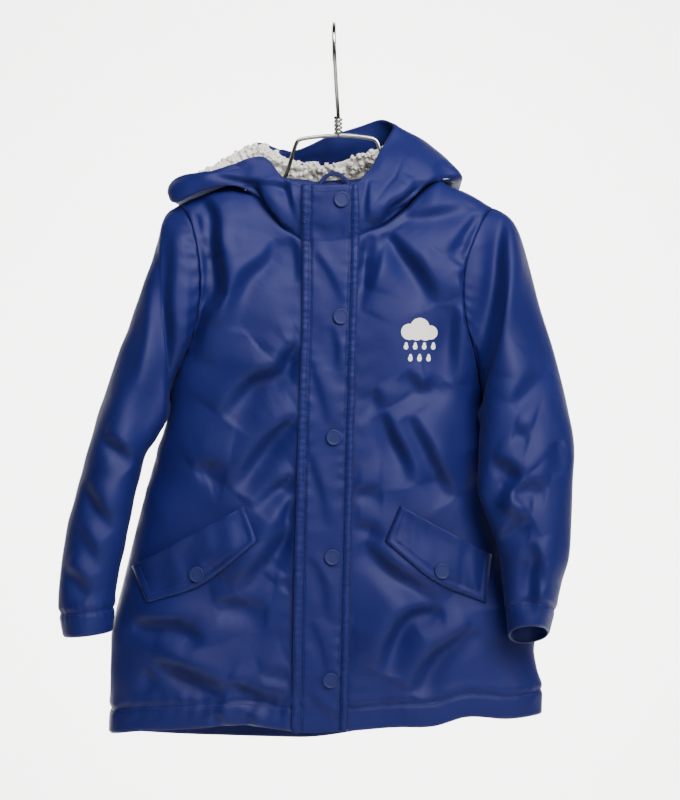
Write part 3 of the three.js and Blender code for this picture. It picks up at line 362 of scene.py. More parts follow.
def finish_front(name, side, armhole, hem_line, top_line, folds, outward, seed):
    """One front with its folds, seams and stitched hem; returns its grid and normals."""
    columns = spaced(0, 13, 205)
    base = front_surface(columns, rows, side, armhole, hem_line, top_line)
    out = normals(base, outward)
    x, z = base[..., 0], base[..., 2]
    to_side, to_top = edge_distance(base, 0, True), edge_distance(base, 1, True)
    to_hem = edge_distance(base, 1)
    to_centre = edge_distance(base, 0)
    seam = np.clip(np.minimum(to_side, to_top) / 14, 0, 1)
    lift = 1.6 * waver(base, 100, seed) + 0.55 * waver(base, 48, seed + 1) + 0.12 * waver(base, 24, seed + 2)
    lift = lift * seam * np.clip(to_centre / 30, 0.25, 1)
    push = 1.2 * fold_depth(x, z, folds) * np.clip(np.minimum(to_side, to_top) / 9, 0, 1)
    push *= np.clip((to_centre - 24) / 10, 0, 1) if name.startswith("front") else 1
    lift += pucker(to_centre - 27, z, 19, 16, 0.45, base, seed + 3) * (to_centre > 27)
    lift += pucker(to_side, z, 17, 14, 0.8, base, seed + 5)
    lift += pucker(np.abs(to_hem - 20), x, 15, 11, 1.0, base, seed + 7)
    lift += 0.35 * np.clip((22.5 - to_hem) / 2.5, 0, 1) - groove(to_hem - 29, 5, 0.9) + groove(to_hem - 22.5, 2.3, 1.7) + groove(to_side, 1.3, 0.35) + groove(to_top, 1.3, 0.4)
    lift -= 1.3 * np.clip(1 - to_hem / 1.8, 0, 1) ** 2
    grid = base + out * lift[..., None]
    eased = np.clip((rows - UNDERARM - 0.02) / 0.08, 0, 1) * np.clip((1 - rows) / 0.08, 0, 1)
    grid[..., 1] += push - 3.6 * eased * np.exp(-((to_side / 12) ** 2))
    return grid, normals(grid, outward)


right_grid, right_normals = finish_front(
    "front_right", SIDE_RIGHT, ARMHOLE_RIGHT, HEM_RIGHT, TOP_RIGHT, FRONT_RIGHT_FOLDS, -1, 11)
left_grid, left_normals = finish_front(
    "front_left", SIDE_LEFT, ARMHOLE_LEFT, HEM_LEFT, TOP_LEFT, FRONT_LEFT_FOLDS, 1, 31)
back_columns = spaced(0, 18, 345)
back_base = back_surface(back_columns, rows)
back_out = normals(back_base, -1)
back_sides = np.minimum(edge_distance(back_base, 0), edge_distance(back_base, 0, True))
back_top, back_hem = edge_distance(back_base, 1, True), edge_distance(back_base, 1)
back_seam = np.minimum(back_sides, back_top)
back_lift = (1.7 * waver(back_base, 110, 51) + 0.6 * waver(back_base, 50, 52)
             + 0.12 * waver(back_base, 24, 53)) * np.clip(back_seam / 14, 0, 1)
back_lift -= fold_depth(back_base[..., 0], back_base[..., 2], BACK_FOLDS) * np.clip(back_seam / 9, 0, 1)
back_lift += pucker(np.abs(back_hem - 20), back_base[..., 0], 15, 11, 0.85, back_base, 55)
back_lift += pucker(back_sides, back_base[..., 2], 17, 14, 0.8, back_base, 57)
back_lift += 0.35 * np.clip((22.5 - back_hem) / 2.5, 0, 1) - groove(back_hem - 29, 5, 0.9) + groove(back_hem - 22.5, 2.3, 1.7) + groove(back_sides, 1.6, 0.7) + groove(back_top, 1.6, 0.7)
back_grid = back_base + back_out * back_lift[..., None]
back_normals = normals(back_grid, -1)


def linear(hex_colour):
    """Linear colour of an sRGB hex value."""
    values = [int(hex_colour[n:n + 2], 16) / 255 for n in (1, 3, 5)]
    return [v / 12.92 if v <= 0.04045 else ((v + 0.055) / 1.055) ** 2.4 for v in values] + [1]


def node(material, kind, settings=None, **links):
    """Adds a shader node. Links are sockets or plain values by input name or number."""
    made = material.node_tree.nodes.new(kind)
    for key, value in (settings or {}).items():
        setattr(made, key, value)
    for key, value in links.items():
        socket = made.inputs[int(key[1:]) if key[0] == "i" and key[1:].isdigit() else key.replace("_", " ")]
        if isinstance(value, bpy.types.NodeSocket):
            material.node_tree.links.new(value, socket)
        else:
            socket.default_value = value
    return made


def new_material(name):
    material = bpy.data.materials.new(name)
    material.use_nodes = True
    shader = material.node_tree.nodes["Principled BSDF"]
    return material, shader


# PU-coated knit: a smooth film on a polyester knit. It has a broad soft gloss, a faint leathery
# grain half a millimetre wide, and the colour goes a little greyer where the film is stretched.
COAT_BASE = "#040c4e"
COAT_WORN = "#08145c"
coat, shader = new_material("PU_coated_knit")
place = node(coat, "ShaderNodeTexCoord").outputs["Object"]
cloudy = node(coat, "ShaderNodeTexNoise", Vector=place, Scale=22.0, Detail=3.0).outputs["Fac"]
grain = node(coat, "ShaderNodeTexNoise", Vector=place, Scale=1500.0, Detail=2.0).outputs["Fac"]
creases = node(coat, "ShaderNodeTexNoise", Vector=place, Scale=130.0, Detail=5.0, Roughness=0.6).outputs["Fac"]
tint = node(coat, "ShaderNodeMix", {"data_type": "RGBA"}, Factor=cloudy)
tint.inputs[6].default_value = linear(COAT_BASE)
tint.inputs[7].default_value = linear(COAT_WORN)
fine = node(coat, "ShaderNodeBump", Strength=0.10, Distance=0.0002, Height=grain).outputs["Normal"]
soft = node(coat, "ShaderNodeBump", Strength=0.22, Distance=0.0012, Height=creases, Normal=fine)
gloss = node(coat, "ShaderNodeMapRange", Value=cloudy, From_Min=0.3, From_Max=0.7, To_Min=0.57, To_Max=0.65)
coat.node_tree.links.new(tint.outputs[2], shader.inputs["Base Color"])
coat.node_tree.links.new(soft.outputs["Normal"], shader.inputs["Normal"])
coat.node_tree.links.new(gloss.outputs["Result"], shader.inputs["Roughness"])
shader.inputs["Specular IOR Level"].default_value = 0.46
shader.inputs["Specular Tint"].default_value = linear("#dcdbf6")
shader.inputs["Sheen Weight"].default_value = 0.02
shader.inputs["Sheen Roughness"].default_value = 0.4


def cloth_piece(made, nodes, material=None):
    """Gives the piece its material, rides on the one body, and stands for its CAD nodes, which it hides."""
    made.data.materials.append(material or coat)
    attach(made, "root")
    if nodes:
        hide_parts(*nodes)
    return made


# Print on the wearer's left chest: off-white screen ink, flush with the film.
# A small rain cloud over two rows of drops takes the place of the ring of letters and flower.
PRINT_X, PRINT_Z = 80, -301
CLOUD = [(-10, 9, 7.5), (0, 13, 9), (10, 8.5, 6.5), (-3, 7, 6), (5, 7, 6)]
DROPS = [(-13, -5), (-4.5, -5), (4, -5), (12.5, -5), (-9, -16), (-0.5, -16), (8, -16)]
printed = coat.copy()
printed.name = "PU_coated_knit_with_print"
shader = printed.node_tree.nodes["Principled BSDF"]
place = node(printed, "ShaderNodeTexCoord").outputs["Object"]
ink = None


def spot(x, z, reach_x, reach_z):
    """One where the cloth lies inside an upright ellipse on the chest, else zero."""
    moved = node(printed, "ShaderNodeVectorMath", {"operation": "SUBTRACT"}, i0=place,
                 i1=((PRINT_X + x) / 1000, 0, (PRINT_Z + z) / 1000)).outputs[0]
    sized = node(printed, "ShaderNodeVectorMath", {"operation": "MULTIPLY"}, i0=moved,
                 i1=(1000 / reach_x, 0, 1000 / reach_z)).outputs[0]
    length = node(printed, "ShaderNodeVectorMath", {"operation": "LENGTH"}, i0=sized).outputs["Value"]
    return node(printed, "ShaderNodeMath", {"operation": "LESS_THAN"}, i0=length, i1=1.0).outputs[0]


spots = [spot(x, z, radius, radius) for x, z, radius in CLOUD]
for x, z in DROPS:
    spots += [spot(x, z, 2.1, 2.4), spot(x + 0.2, z + 1.7, 1.5, 2.8)]
for one in spots:
    ink = one if ink is None else node(printed, "ShaderNodeMath", {"operation": "MAXIMUM"}, i0=ink, i1=one).outputs[0]
inked = node(printed, "ShaderNodeMix", {"data_type": "RGBA"}, Factor=ink)
printed.node_tree.links.new(shader.inputs["Base Color"].links[0].from_socket, inked.inputs[6])
inked.inputs[7].default_value = linear("#fffaf0")
printed.node_tree.links.new(inked.outputs[2], shader.inputs["Base Color"])

front_right = grid_object("coat_front_right", right_grid, CLOTH, -1)
front_left = grid_object("coat_front_left", left_grid, CLOTH, 1)
back = grid_object("coat_back", back_grid, CLOTH, -1)
print("areas", grid_area(right_grid), grid_area(left_grid), grid_area(back_grid))
cloth_piece(front_right, ["front_right", "hem_front_right"])
cloth_piece(front_left, ["front_left", "hem_front_left"], printed)
cloth_piece(back, ["back", "hem_back"])

# Sleeves: one tube each of the same coated knit, set into the armhole, ending in a stitched
# turn-up. The wearer's right sleeve hangs outward, the left one in front of the side seam with
# its opening tipped forward. The elbows keep short crosswise folds from wear.
SLEEVE_RIGHT = [
    [-159, -4, -182, -154, -12, -355, 34, 0], [-167, -5, -207, -153, -15, -358, 35, 0],
    [-180, -6, -245, -155, -21, -373, 36, 0], [-196, -8, -292, -165, -25, -390, 37, 0],
    [-212, -12, -338, -177, -28, -408, 37, 0], [-228, -18, -384, -184, -30, -438, 36, 0],
    [-241, -24, -440, -190, -31, -471, 34, 0], [-250, -28, -482, -195.5, -32, -498, 32, 0],
    [-256, -30, -515, -201, -32, -518, 31, 0], [-257, -31, -531, -203.5, -32, -529, 30, 0],
    [-256.5, -31, -552, -205.5, -32, -549, 30, 0], [-253, -31, -576, -208, -32, -571, 30, 0]]
SLEEVE_LEFT = [
    [165, -3, -180, 142, -12, -357, 33, 0], [175, -4, -196, 139, -18, -364, 35, 0],
    [186, -5, -236, 136, -25, -370, 36, 0], [197, -8, -276, 136.5, -35, -380, 36, 0],
    [208, -12, -312, 134, -40, -396, 36, 0], [220, -20, -350, 133, -44, -416, 35, 0],
    [225, -30, -390, 132.5, -48, -438, 34, 0], [221, -38, -430, 138, -52, -456, 32, 0],
    [220, -44, -465, 146, -54, -476, 31, 1], [218, -48, -499, 152, -55, -498, 30, 2],
    [211, -50, -521, 155, -55, -519, 29, 3], [208, -51, -533, 156.5, -55, -532, 29, 4],
    [204, -52, -552, 158, -55, -552, 29, 7], [199, -53, -572, 159, -55, -573, 29, 11]]
RIGHT_ARM_FOLDS = [
    (6, 9, 0.5, [-155, -191, -153, -223, -155, -263, -153, -295, -154, -335, -160, -362, -173, -400]),
    (3.4, 7, -0.6, [-214, -388, -196, -398, -182, -412]),
    (3.2, 7, -0.6, [-228, -431, -216, -452, -200, -474]),
    (2.8, 7, -0.6, [-249, -509, -234, -519, -222, -535]),
    (2.6, 8, 0.5, [-176, -250, -180, -300, -190, -345]),
    (2.2, 7, 0.5, [-236, -470, -222, -490, -212, -512])]
LEFT_ARM_FOLDS = [
    (7, 7, 0.5, [163, -176, 158, -211, 155, -252, 147, -294, 140, -330]),
    (3.6, 7, 0.6, [145, -408, 163, -417, 173, -427]),
    (3.6, 7, 0.6, [173, -423, 157, -440, 153, -454, 167, -459, 181, -461]),
    (3, 7, -0.6, [160, -440, 177, -432, 196, -435]),
    (3.2, 7, 0.6, [147, -486, 160, -473, 179, -461]),
    (3.4, 9, -0.5, [161, -360, 177, -341, 194, -322]),
    (2.4, 7, 0.5, [165, -381, 181, -386]),
    (3, 7, 0.6, [181, -485, 197, -526]),
    (3.4, 7, 0.7, [183, -503, 184, -556]),
    (2.4, 6, 0.6, [208, -393, 218, -420])]
BACK_ARM_FOLDS = [
    (3, 8, 0.5, [-200, -360, -190, -380, -176, -395]), (3, 8, 0.5, [-226, -420, -210, -440, -196, -452]),
    (3, 8, 0.5, [-180, -220, -186, -270, -196, -320]), (3, 8, 0.5, [210, -330, 190, -350, 160, -365]),
    (3, 8, 0.5, [212, -410, 190, -425, 160, -436]), (3, 8, -0.5, [176, -230, 172, -270, 160, -310]),
    (2.5, 7, 0.5, [206, -500, 190, -520, 172, -530])]
CUFF = 21


def sleeve_surface(front_seam, back_seam, sections):
    """Outer face of a sleeve as columns round it by rows down it, starting on the armhole seam."""
    first = int(np.argmin(np.abs(rows - UNDERARM)))
    loop = np.vstack([front_seam[first:][::-1], back_seam[first + 1:-1]])
    half = len(rows) - 1 - first
    lengths = np.r_[0, np.cumsum(np.linalg.norm(np.diff(np.vstack([loop, loop[:1]]), axis=0), axis=1))]
    m = np.arange(len(loop))
    share = np.where(m <= half, lengths[m] / lengths[half] / 2,
                     0.5 + (lengths[m] - lengths[half]) / (lengths[-1] - lengths[half]) / 2)
    turn = (share + m / len(loop)) / 2 * 2 * math.pi
    sections = np.array(sections, float)
    grid = []
    place = spaced(0, 1, 385)
    for ring, angle in zip(loop, turn):
        c, s = 0.5 + math.cos(angle) / 2, math.sin(angle)
        line = sections[:, 3:6] * (1 - c) + sections[:, :3] * c
        line[:, 1] -= sections[:, 6] * s
        line[:, 2] += sections[:, 7] * s
        points = np.vstack([ring, line])
        keys = np.r_[0, np.cumsum(np.linalg.norm(np.diff(points, axis=0), axis=1) ** 0.8)]
        grid.append(smooth(np.c_[keys / keys[-1], points], place))
    return np.array(grid), turn


def finish_sleeve(front_seam, back_seam, sections, folds, outward, seed):
    base, turn = sleeve_surface(front_seam, back_seam, sections)
    out = normals(base, outward, True)
    x, z = base[..., 0], base[..., 2]
    facing = np.maximum(0, np.sin(turn))[:, None] ** 0.5
    behind = np.maximum(0, -np.sin(turn))[:, None] ** 0.5
    to_seam, to_end = edge_distance(base, 1), edge_distance(base, 1, True)
    around = np.cumsum(np.r_[0, np.linalg.norm(np.diff(base[:, 8], axis=0), axis=1)])[:, None]
    free = np.clip(to_seam / 12, 0, 1)
    lift = (1.4 * waver(base, 90, seed) + 0.5 * waver(base, 42, seed + 1) + 0.1 * waver(base, 22, seed + 2)) * free
    lift += pucker(to_seam, around, 16, 15, 1.0, base, seed + 3) * facing
    lift += pucker(np.abs(to_end - CUFF), around, 19, 9, 0.3, base, seed + 4)
    lift += 0.3 * np.clip((CUFF + 1 - to_end) / 2.5, 0, 1) - groove(to_end - CUFF - 7, 4, 0.5) + groove(to_end - CUFF - 1, 2.3, 1.4) + groove(to_seam, 1.3, 0.4)
    lift -= 1.1 * np.clip(1 - to_end / 1.8, 0, 1) ** 2
    lift -= fold_depth(x, z, BACK_ARM_FOLDS) * behind * free * np.clip(to_end / 30, 0, 1)
    grid = base + out * lift[..., None]
    grid[..., 1] += fold_depth(x, z, folds) * facing * free * np.clip(to_end / 24, 0.15, 1)
    return grid


sleeve_right_grid = finish_sleeve(right_grid[-1], back_grid[0], SLEEVE_RIGHT, RIGHT_ARM_FOLDS, -1, 71)
sleeve_left_grid = finish_sleeve(left_grid[-1], back_grid[-1], SLEEVE_LEFT, LEFT_ARM_FOLDS, 1, 91)
sleeve_right = grid_object("coat_sleeve_right", sleeve_right_grid, CLOTH, -1, True)
sleeve_left = grid_object("coat_sleeve_left", sleeve_left_grid, CLOTH, 1, True)
print("sleeves", grid_area(sleeve_right_grid, True), grid_area(sleeve_left_grid, True))
cloth_piece(sleeve_right, ["sleeve_right", "cuff_right"])
cloth_piece(sleeve_left, ["sleeve_left", "cuff_left"])

# Hood: two shaped sides and a middle strip of coated knit sewn into one shell, lined with
# off-white sherpa and faced with a navy band at the rim. Empty, it falls back and flops over
# both shoulders, with a pointed peak on the wearer's left and a lobe on the right.
HOOD = [
    [0, -4, -40, -199, -4, -42, -190, -4, -43, -181, -4, -43, -172, -4, -43, -163, -4, -42.5, -154.5],
    [1, -22, -39.5, -198, -22, -41.5, -189, -22, -42.3, -180.5, -22, -42.3, -171.5, -22, -42.3, -162.5,
     -22, -41.5, -154.2],
    [2, -30, -39, -197, -30, -41, -188, -30, -41.5, -180, -30, -41.5, -171, -30, -41.5, -162,
     -30, -40.5, -154],
    [4, -49, -35.5, -185, -49, -37.5, -177, -48.5, -38.5, -169, -48, -38.5, -161, -48, -37.5, -154,
     -48, -35, -147],
    [5.5, -64, -30, -169, -64, -33, -162, -64, -34.5, -154, -65, -34, -145, -65, -32, -136, -66, -28, -127],
    [6.6, -76, -26.5, -162, -83, -30, -158, -90, -32.7, -153.5, -95.5, -34, -147, -97, -33, -140,
     -93, -30, -133],
    [7.4, -84, -21, -152, -98, -27, -151, -114, -31, -156.5, -123, -33, -152, -123, -32, -146,
     -119, -28, -140],
    [8.2, -92, -16, -147, -112, -22, -152, -136, -27, -164, -146, -25, -158, -146, -22, -150,
     -141, -17, -142],
    [8.8, -96, -11, -143, -116, -16, -150, -147, -20, -169, -155, -16, -162, -155, -13, -154, -150, -8, -145],
    [9.4, -95, -4, -140, -116, -2, -146, -150, -1, -165, -158, 0, -161, -157, 0, -153, -151, 1, -146],
    [10, -92, 6, -138, -114, 12, -146, -146, 18, -166, -156, 22, -163, -153, 23, -152, -149, 26, -145],
    [11, -83, 19, -139, -100, 28, -154, -132, 38, -178, -143, 46, -167, -130, 44, -142, -135, 55, -146],
    [12, -62, 31, -140, -72, 42, -160, -105, 66, -205, -118, 72, -175, -108, 50, -131, -114, 62, -134],
    [13, -33, 38, -143, -40, 47, -165, -70, 80, -235, -80, 84, -180, -74, 50, -113, -80, 60, -117],
    [14, 0, 40, -144, -4, 49, -168, -22, 88, -246, -38, 90, -190, -45, 50, -126, -38, 42, -113],
    [15, 30, 38, -143, 28, 48, -168, 22, 88, -246, 10, 88, -180, -8, 46, -127, -6, 38, -100],
    [16, 57, 32, -140, 60, 42, -163, 62, 82, -232, 46, 80, -165, 24, 42, -118, 24, 34, -91],
    [17, 80, 21, -137, 88, 32, -155, 98, 62, -205, 76, 60, -140, 52, 36, -110, 44, 28, -85],
    [18, 97, 10, -137, 106, 20, -155, 117, 28, -160, 115, 30, -142, 86, 25, -112, 54, 16, -88],
    [19, 101, -9, -143.5, 112, -6, -149.3, 122, -4, -144, 110, 1, -130, 84, 4, -109, 57, 4, -94],
    [20, 84, -19, -154.5, 91, -22, -151.5, 99, -23, -143.5, 88, -20, -130, 67, -14, -117, 48, -8, -111],
    [21, 71, -26, -167, 77, -30, -162, 82, -31, -151, 73, -28, -139, 58, -22, -128, 42, -16, -122],
    [22, 62, -30.5, -176, 67, -33, -168, 69, -34.5, -159, 61, -32, -149, 49, -27, -140, 37, -22, -133],
    [24, 44, -36.5, -187, 47, -39, -180, 47, -40, -173, 41, -38, -163, 35, -35, -153, 28, -32, -145],
    [26, 24, -39.5, -194, 24, -41.5, -187, 24, -42.3, -179, 23.5, -42, -170, 22.5, -41, -161, 21, -39, -153],
    [27, 16, -39.8, -197, 16, -41.8, -188.5, 16, -42.7, -180, 16, -42.6, -171, 16, -42.2, -162,
     16, -41, -154],
    [28, -4, -40, -199, -4, -42, -190, -4, -43, -181, -4, -43, -172, -4, -43, -163, -4, -42.5, -154.5]]

HOOD_FOLDS = [
    (5.5, 6, 0.5, [-74, -152, -66, -169, -52, -190, -44, -200]),
    (3.2, 5, 0.5, [-46, -152, -39, -170, -30, -190]),
    (3.4, 6, 0.5, [78, -148, 70, -164, 56, -172, 48, -180, 43, -194]),
    (1.6, 3, 0.5, [33, -150, 30, -170, 30, -188]),
    (0.9, 1.6, 0, [70, -117, 63, -131, 58, -145, 48, -158, 37, -174, 31, -182]),
    (2.0, 3.6, 0.5, [-112, -143, -98, -147, -82, -150.5, -57, -153.5, -42, -156, -28, -158]),
    (2.4, 7, 0.5, [100, -128, 112, -138, 120, -148]),
    (2.4, 7, -0.5, [-120, -136, -96, -132, -76, -136])]


def neck_seam(stations):
    """Points of the neck seam: right front, back, then left front back to the centre."""
    points = []
    for k in stations:
        if k <= 9:
            points.append(smooth(TOP_RIGHT, k)[0])
        elif k < 19:
            points.append(smooth(BACK_TOP, k - 5)[0])
        else:
            points.append(smooth(TOP_LEFT, 28 - k)[0])
    return np.array(points)


def hood_surface(stations, places):
    """Hood's outer face: columns by station round the neck, rows from the seam (0) to the rim (6)."""
    control = smooth(HOOD, stations).reshape(len(stations), 6, 3)
    line = np.concatenate([neck_seam(stations)[:, None], control], axis=1)
    keys = np.arange(7)
    return np.array([smooth(np.c_[keys, points], places) for points in line])


stations = np.linspace(0, 28, 260)
places = np.linspace(-0.25, 6, 69)
hood_base = hood_surface(stations, places)
hood_out = normals(hood_base, -1)
rim, neck = edge_distance(hood_base, 1, True), np.maximum(edge_distance(hood_base, 1) - 2.2, 0)
round_neck = np.repeat(np.linspace(0, 620, len(stations))[:, None], len(places), axis=1)
hood_lift = (0.9 * waver(hood_base, 60, 111) + 0.5 * waver(hood_base, 28, 112)) * np.clip(neck / 10, 0, 1)
hood_lift *= np.clip(rim / 8, 0.3, 1)
hood_lift += pucker(neck, round_neck, 14, 10, 0.3, hood_base, 113)
hood_lift += groove(neck, 1.6, 0.8) - 0.9 * np.clip(1 - rim / 1.6, 0, 1) ** 2


def hood_folds(points, out):
    facing_front = np.clip(-out[..., 1] * 1.6, 0, 1) * (points[..., 1] < 0)
    off_placket = np.clip((np.abs(points[..., 0] + 3) - 28) / 8, 0, 1)
    return fold_depth(points[..., 0], points[..., 2], HOOD_FOLDS) * facing_front * off_placket


hood_lift -= hood_folds(hood_base, hood_out) * np.clip(neck / 6, 0.2, 1)
hood_grid = hood_base + hood_out * hood_lift[..., None]
hood_normals = normals(hood_grid, -1)
hood = grid_object("coat_hood", hood_grid, 1.6, -1)
print("hood", grid_area(hood_grid))
cloth_piece(hood, ["hood"])


def room_inside(points, out, others):
    """Radius of the largest ball inside the hood that touches its face at each point."""
    room = np.full(points.shape[:-1], np.inf)
    for n, line in enumerate(points):
        offset = others[None] - line[:, None]
        height = -np.einsum("jkc,jc->jk", offset, out[n])
        length = np.einsum("jkc,jkc->jk", offset, offset)
        ok = height > 0.05 * np.sqrt(length)
        room[n] = np.where(ok, length / (2 * np.maximum(height, 1e-9)), np.inf).min(axis=1)
    return room


coarse = hood_surface(np.linspace(0, 28, 57), np.linspace(0, 6, 13)).reshape(-1, 3)
lining_stations = np.linspace(1, 27, 240)
lining_places = np.linspace(1.5, 5.05, 70)
lining_base = hood_surface(lining_stations, lining_places)
lining_out = normals(lining_base, -1)
room = room_inside(lining_base, lining_out, coarse)
depth = np.clip(0.7 * room, 3.2, 6.0) + np.maximum(hood_folds(lining_base, lining_out), 0)
curl = np.abs(waver(lining_base, 9, 131)) * 0.8 + np.abs(waver(lining_base, 5, 132)) * 0.7
lining_grid = lining_base - lining_out * (depth + (curl - 0.6) * np.clip((room - 4) / 4, 0, 1))[..., None]
lining_grid[..., 1] += 5 * np.clip((-18 - lining_grid[..., 1]) / 6, 0, 1)
lining = grid_object("hood_sherpa", lining_grid, 1.0, 1)

# Sherpa pile: knitted polyester with a curled off-white pile 5 to 8 mm deep. It is matte and scatters light between
# its curls; its colour is painted a touch creamier and darker in the hollows between clumps than on the tips, as
# painted shade that follows the clump bump.
sherpa, shader = new_material("sherpa_pile")
place = node(sherpa, "ShaderNodeTexCoord").outputs["Object"]
clumps = node(sherpa, "ShaderNodeTexNoise", Vector=place, Scale=260.0, Detail=4.0).outputs["Fac"]
fibres = node(sherpa, "ShaderNodeTexNoise", Vector=place, Scale=1800.0, Detail=3.0).outputs["Fac"]
# Painted shade: the pile is coloured creamier and darker where the clump bump is low, in the hollows between clumps.
clump_hollow_shade = node(sherpa, "ShaderNodeMix", {"data_type": "RGBA"}, Factor=clumps)
clump_hollow_shade.inputs[6].default_value = linear("#f6f1e4")
clump_hollow_shade.inputs[7].default_value = linear("#fffef9")
bump = node(sherpa, "ShaderNodeBump", Strength=0.5, Distance=0.001, Height=clumps).outputs["Normal"]
bump = node(sherpa, "ShaderNodeBump", Strength=0.4, Distance=0.0004, Height=fibres, Normal=bump)
sherpa.node_tree.links.new(clump_hollow_shade.outputs[2], shader.inputs["Base Color"])
sherpa.node_tree.links.new(bump.outputs["Normal"], shader.inputs["Normal"])
shader.inputs["Roughness"].default_value = 0.95
shader.inputs["Sheen Weight"].default_value = 0.3
shader.inputs["Sheen Roughness"].default_value = 0.6
print("lining", grid_area(lining_grid))
cloth_piece(lining, ["hood_lining"], sherpa)


def curls(name, points, out, seed):
    """Clumps of curled pile: small uneven balls, each sunk a little into the lining."""
    rng = np.random.default_rng(seed)
    count, around, tall = len(points), 7, 4
    turn = np.arange(around) * 2 * math.pi / around
    lift = np.array([-0.75, -0.25, 0.3, 0.8]) * math.pi / 2
    ball = np.array([[math.cos(a) * math.cos(t), math.sin(a) * math.cos(t), math.sin(a * 0 + t)]
                     for t in lift for a in turn] + [[0, 0, 1.0]])
    side = np.cross(out, rng.normal(size=(count, 3)))
    side /= np.linalg.norm(side, axis=1, keepdims=True)
    axes = np.stack([side, np.cross(out, side), out], axis=1)
    radius = rng.uniform(1.7, 3.1, (count, 1, 1))
    shape = ball[None] * radius * rng.uniform(0.75, 1.3, (count, 1, 3))
    shape = shape * (1 + 0.22 * rng.normal(size=(count, len(ball), 1)).clip(-1.6, 1.6))
    places_of = np.einsum("nvc,ncd->nvd", shape, axes) + (points + out * 0.5)[:, None]
    one = [(r * around + c, r * around + (c + 1) % around, (r + 1) * around + (c + 1) % around,
            (r + 1) * around + c) for r in range(tall - 1) for c in range(around)]
    top = [((tall - 1) * around + c, (tall - 1) * around + (c + 1) % around, tall * around)
           for c in range(around)]
    faces = []
    for n in range(count):
        start = n * len(ball)
        faces += [tuple(start + v for v in face) for face in one + top]
    mesh = bpy.data.meshes.new(name)
    mesh.from_pydata((places_of.reshape(-1, 3) / 1000).tolist(), [], faces)
    mesh.polygons.foreach_set("use_smooth", np.ones(len(faces), bool))
    made = bpy.data.objects.new(name, mesh)
    bpy.context.scene.collection.objects.link(made)
    return made


rolled = hood_surface(np.linspace(10.3, 14.75, 60), [5.0])[:, 0]
along_roll = np.gradient(rolled, axis=0)
along_roll /= np.linalg.norm(along_roll, axis=1, keepdims=True)
ring = np.linspace(0, 2 * math.pi, 15)[:-1]
roll_up = np.cross(along_roll, [0, 1, 0])
roll_up /= np.linalg.norm(roll_up, axis=1, keepdims=True)
roll_up *= np.sign(roll_up[:, 2:3])
roll_side = np.cross(along_roll, roll_up)
swell = 4.2 * np.sin(np.linspace(0.12, math.pi - 0.12, 60)) ** 0.5
around_roll = roll_side[None] * np.cos(ring)[:, None, None] + roll_up[None] * np.sin(ring)[:, None, None]
roll_grid = rolled[None] + [0, -2, 0.9] + around_roll * swell[None, :, None]
roll_grid = roll_grid + around_roll * (0.8 * np.abs(waver(roll_grid, 6, 133)))[..., None]
roll = grid_object("hood_sherpa_roll", roll_grid, 0, 1, True)
roll.data.materials.append(sherpa)
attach(roll, "root")

rng = np.random.default_rng(7)
count = 4600
pick_k = rng.integers(int(0.3 * len(lining_stations)), int(0.76 * len(lining_stations)), count)
pick_j = rng.integers(0, len(lining_places), count)
open_enough = (room[pick_k, pick_j] > 8) & (lining_base[pick_k, pick_j][:, 2] > -172)
roots = lining_grid[pick_k, pick_j][open_enough]
upward = -lining_out[pick_k, pick_j][open_enough]
roll_pick = rng.integers(0, roll_grid[..., 0].size, count // 7)
roots = np.vstack([roots, roll_grid.reshape(-1, 3)[roll_pick]])
upward = np.vstack([upward, around_roll.reshape(-1, 3)[roll_pick]])
pile = curls("hood_pile", roots, upward, 8)
pile.data.materials.append(sherpa)
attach(pile, "root")

facing_stations = np.linspace(1, 27, 240)
facing_places = np.linspace(5.0, 5.99, 16)
facing_base = hood_surface(facing_stations, facing_places)
facing_out = normals(facing_base, -1)
facing_room = room_inside(facing_base, facing_out, coarse)
facing_grid = facing_base - facing_out * (np.clip(0.6 * facing_room, 2.6, 3.2)
                                          + 0.5 * waver(facing_base, 26, 141))[..., None]
facing = grid_object("hood_facing_band", facing_grid, 1.0, 1)
print("facing", grid_area(facing_grid))
cloth_piece(facing, ["hood_facing"])

# Placket: a strip of doubled coated knit 36 mm wide over the front opening, edged by a raised
# welt on each side and topstitched. It runs from the hem to the top of the collar.
PLACKET_LIFT = 2.1
WELT_LIFT = 3.4
PLACKET_FOLDS = [
    (1.9, 4.5, 0.5, [-19, -216, -4, -240, 10, -268]), (1.6, 4, 0.5, [-3, -286, 2, -305, 1, -328]),
    (1.9, 5, -0.5, [-24, -316, -13, -350, -3, -380]), (1.7, 4.5, -0.5, [-26, -400, -14, -434, -4, -474]),
    (1.4, 4, 0.5, [-24, -500, -10, -524, -6, -560]), (1.5, 4, 0.5, [-22, -560, -10, -590, -6, -610]),
    (1.2, 4, 0.5, [-22, -186, -8, -196, 8, -190]), (1.2, 4, 0.5, [-24, -625, -12, -640, 2, -652])]


def placket_surface(across, heights):
    """Face under the placket: across in columns, heights 0 to 1 up the front, 1 to 2 up the collar."""
    low, high = heights[heights <= 1], heights[heights > 1]
    grid = []
    for s in across:
        if s < 0:
            front = front_surface(np.array([-s]), low, SIDE_RIGHT, ARMHOLE_RIGHT, HEM_RIGHT, TOP_RIGHT)[0]
            collar = hood_surface(np.array([-s]), (high - 1) * 6)[0]
        else:
            front = front_surface(np.array([s]), low, SIDE_LEFT, ARMHOLE_LEFT, HEM_LEFT, TOP_LEFT)[0]
            collar = hood_surface(np.array([28 - s]), (high - 1) * 6)[0]
        grid.append(np.vstack([front, collar]))
    return np.array(grid)


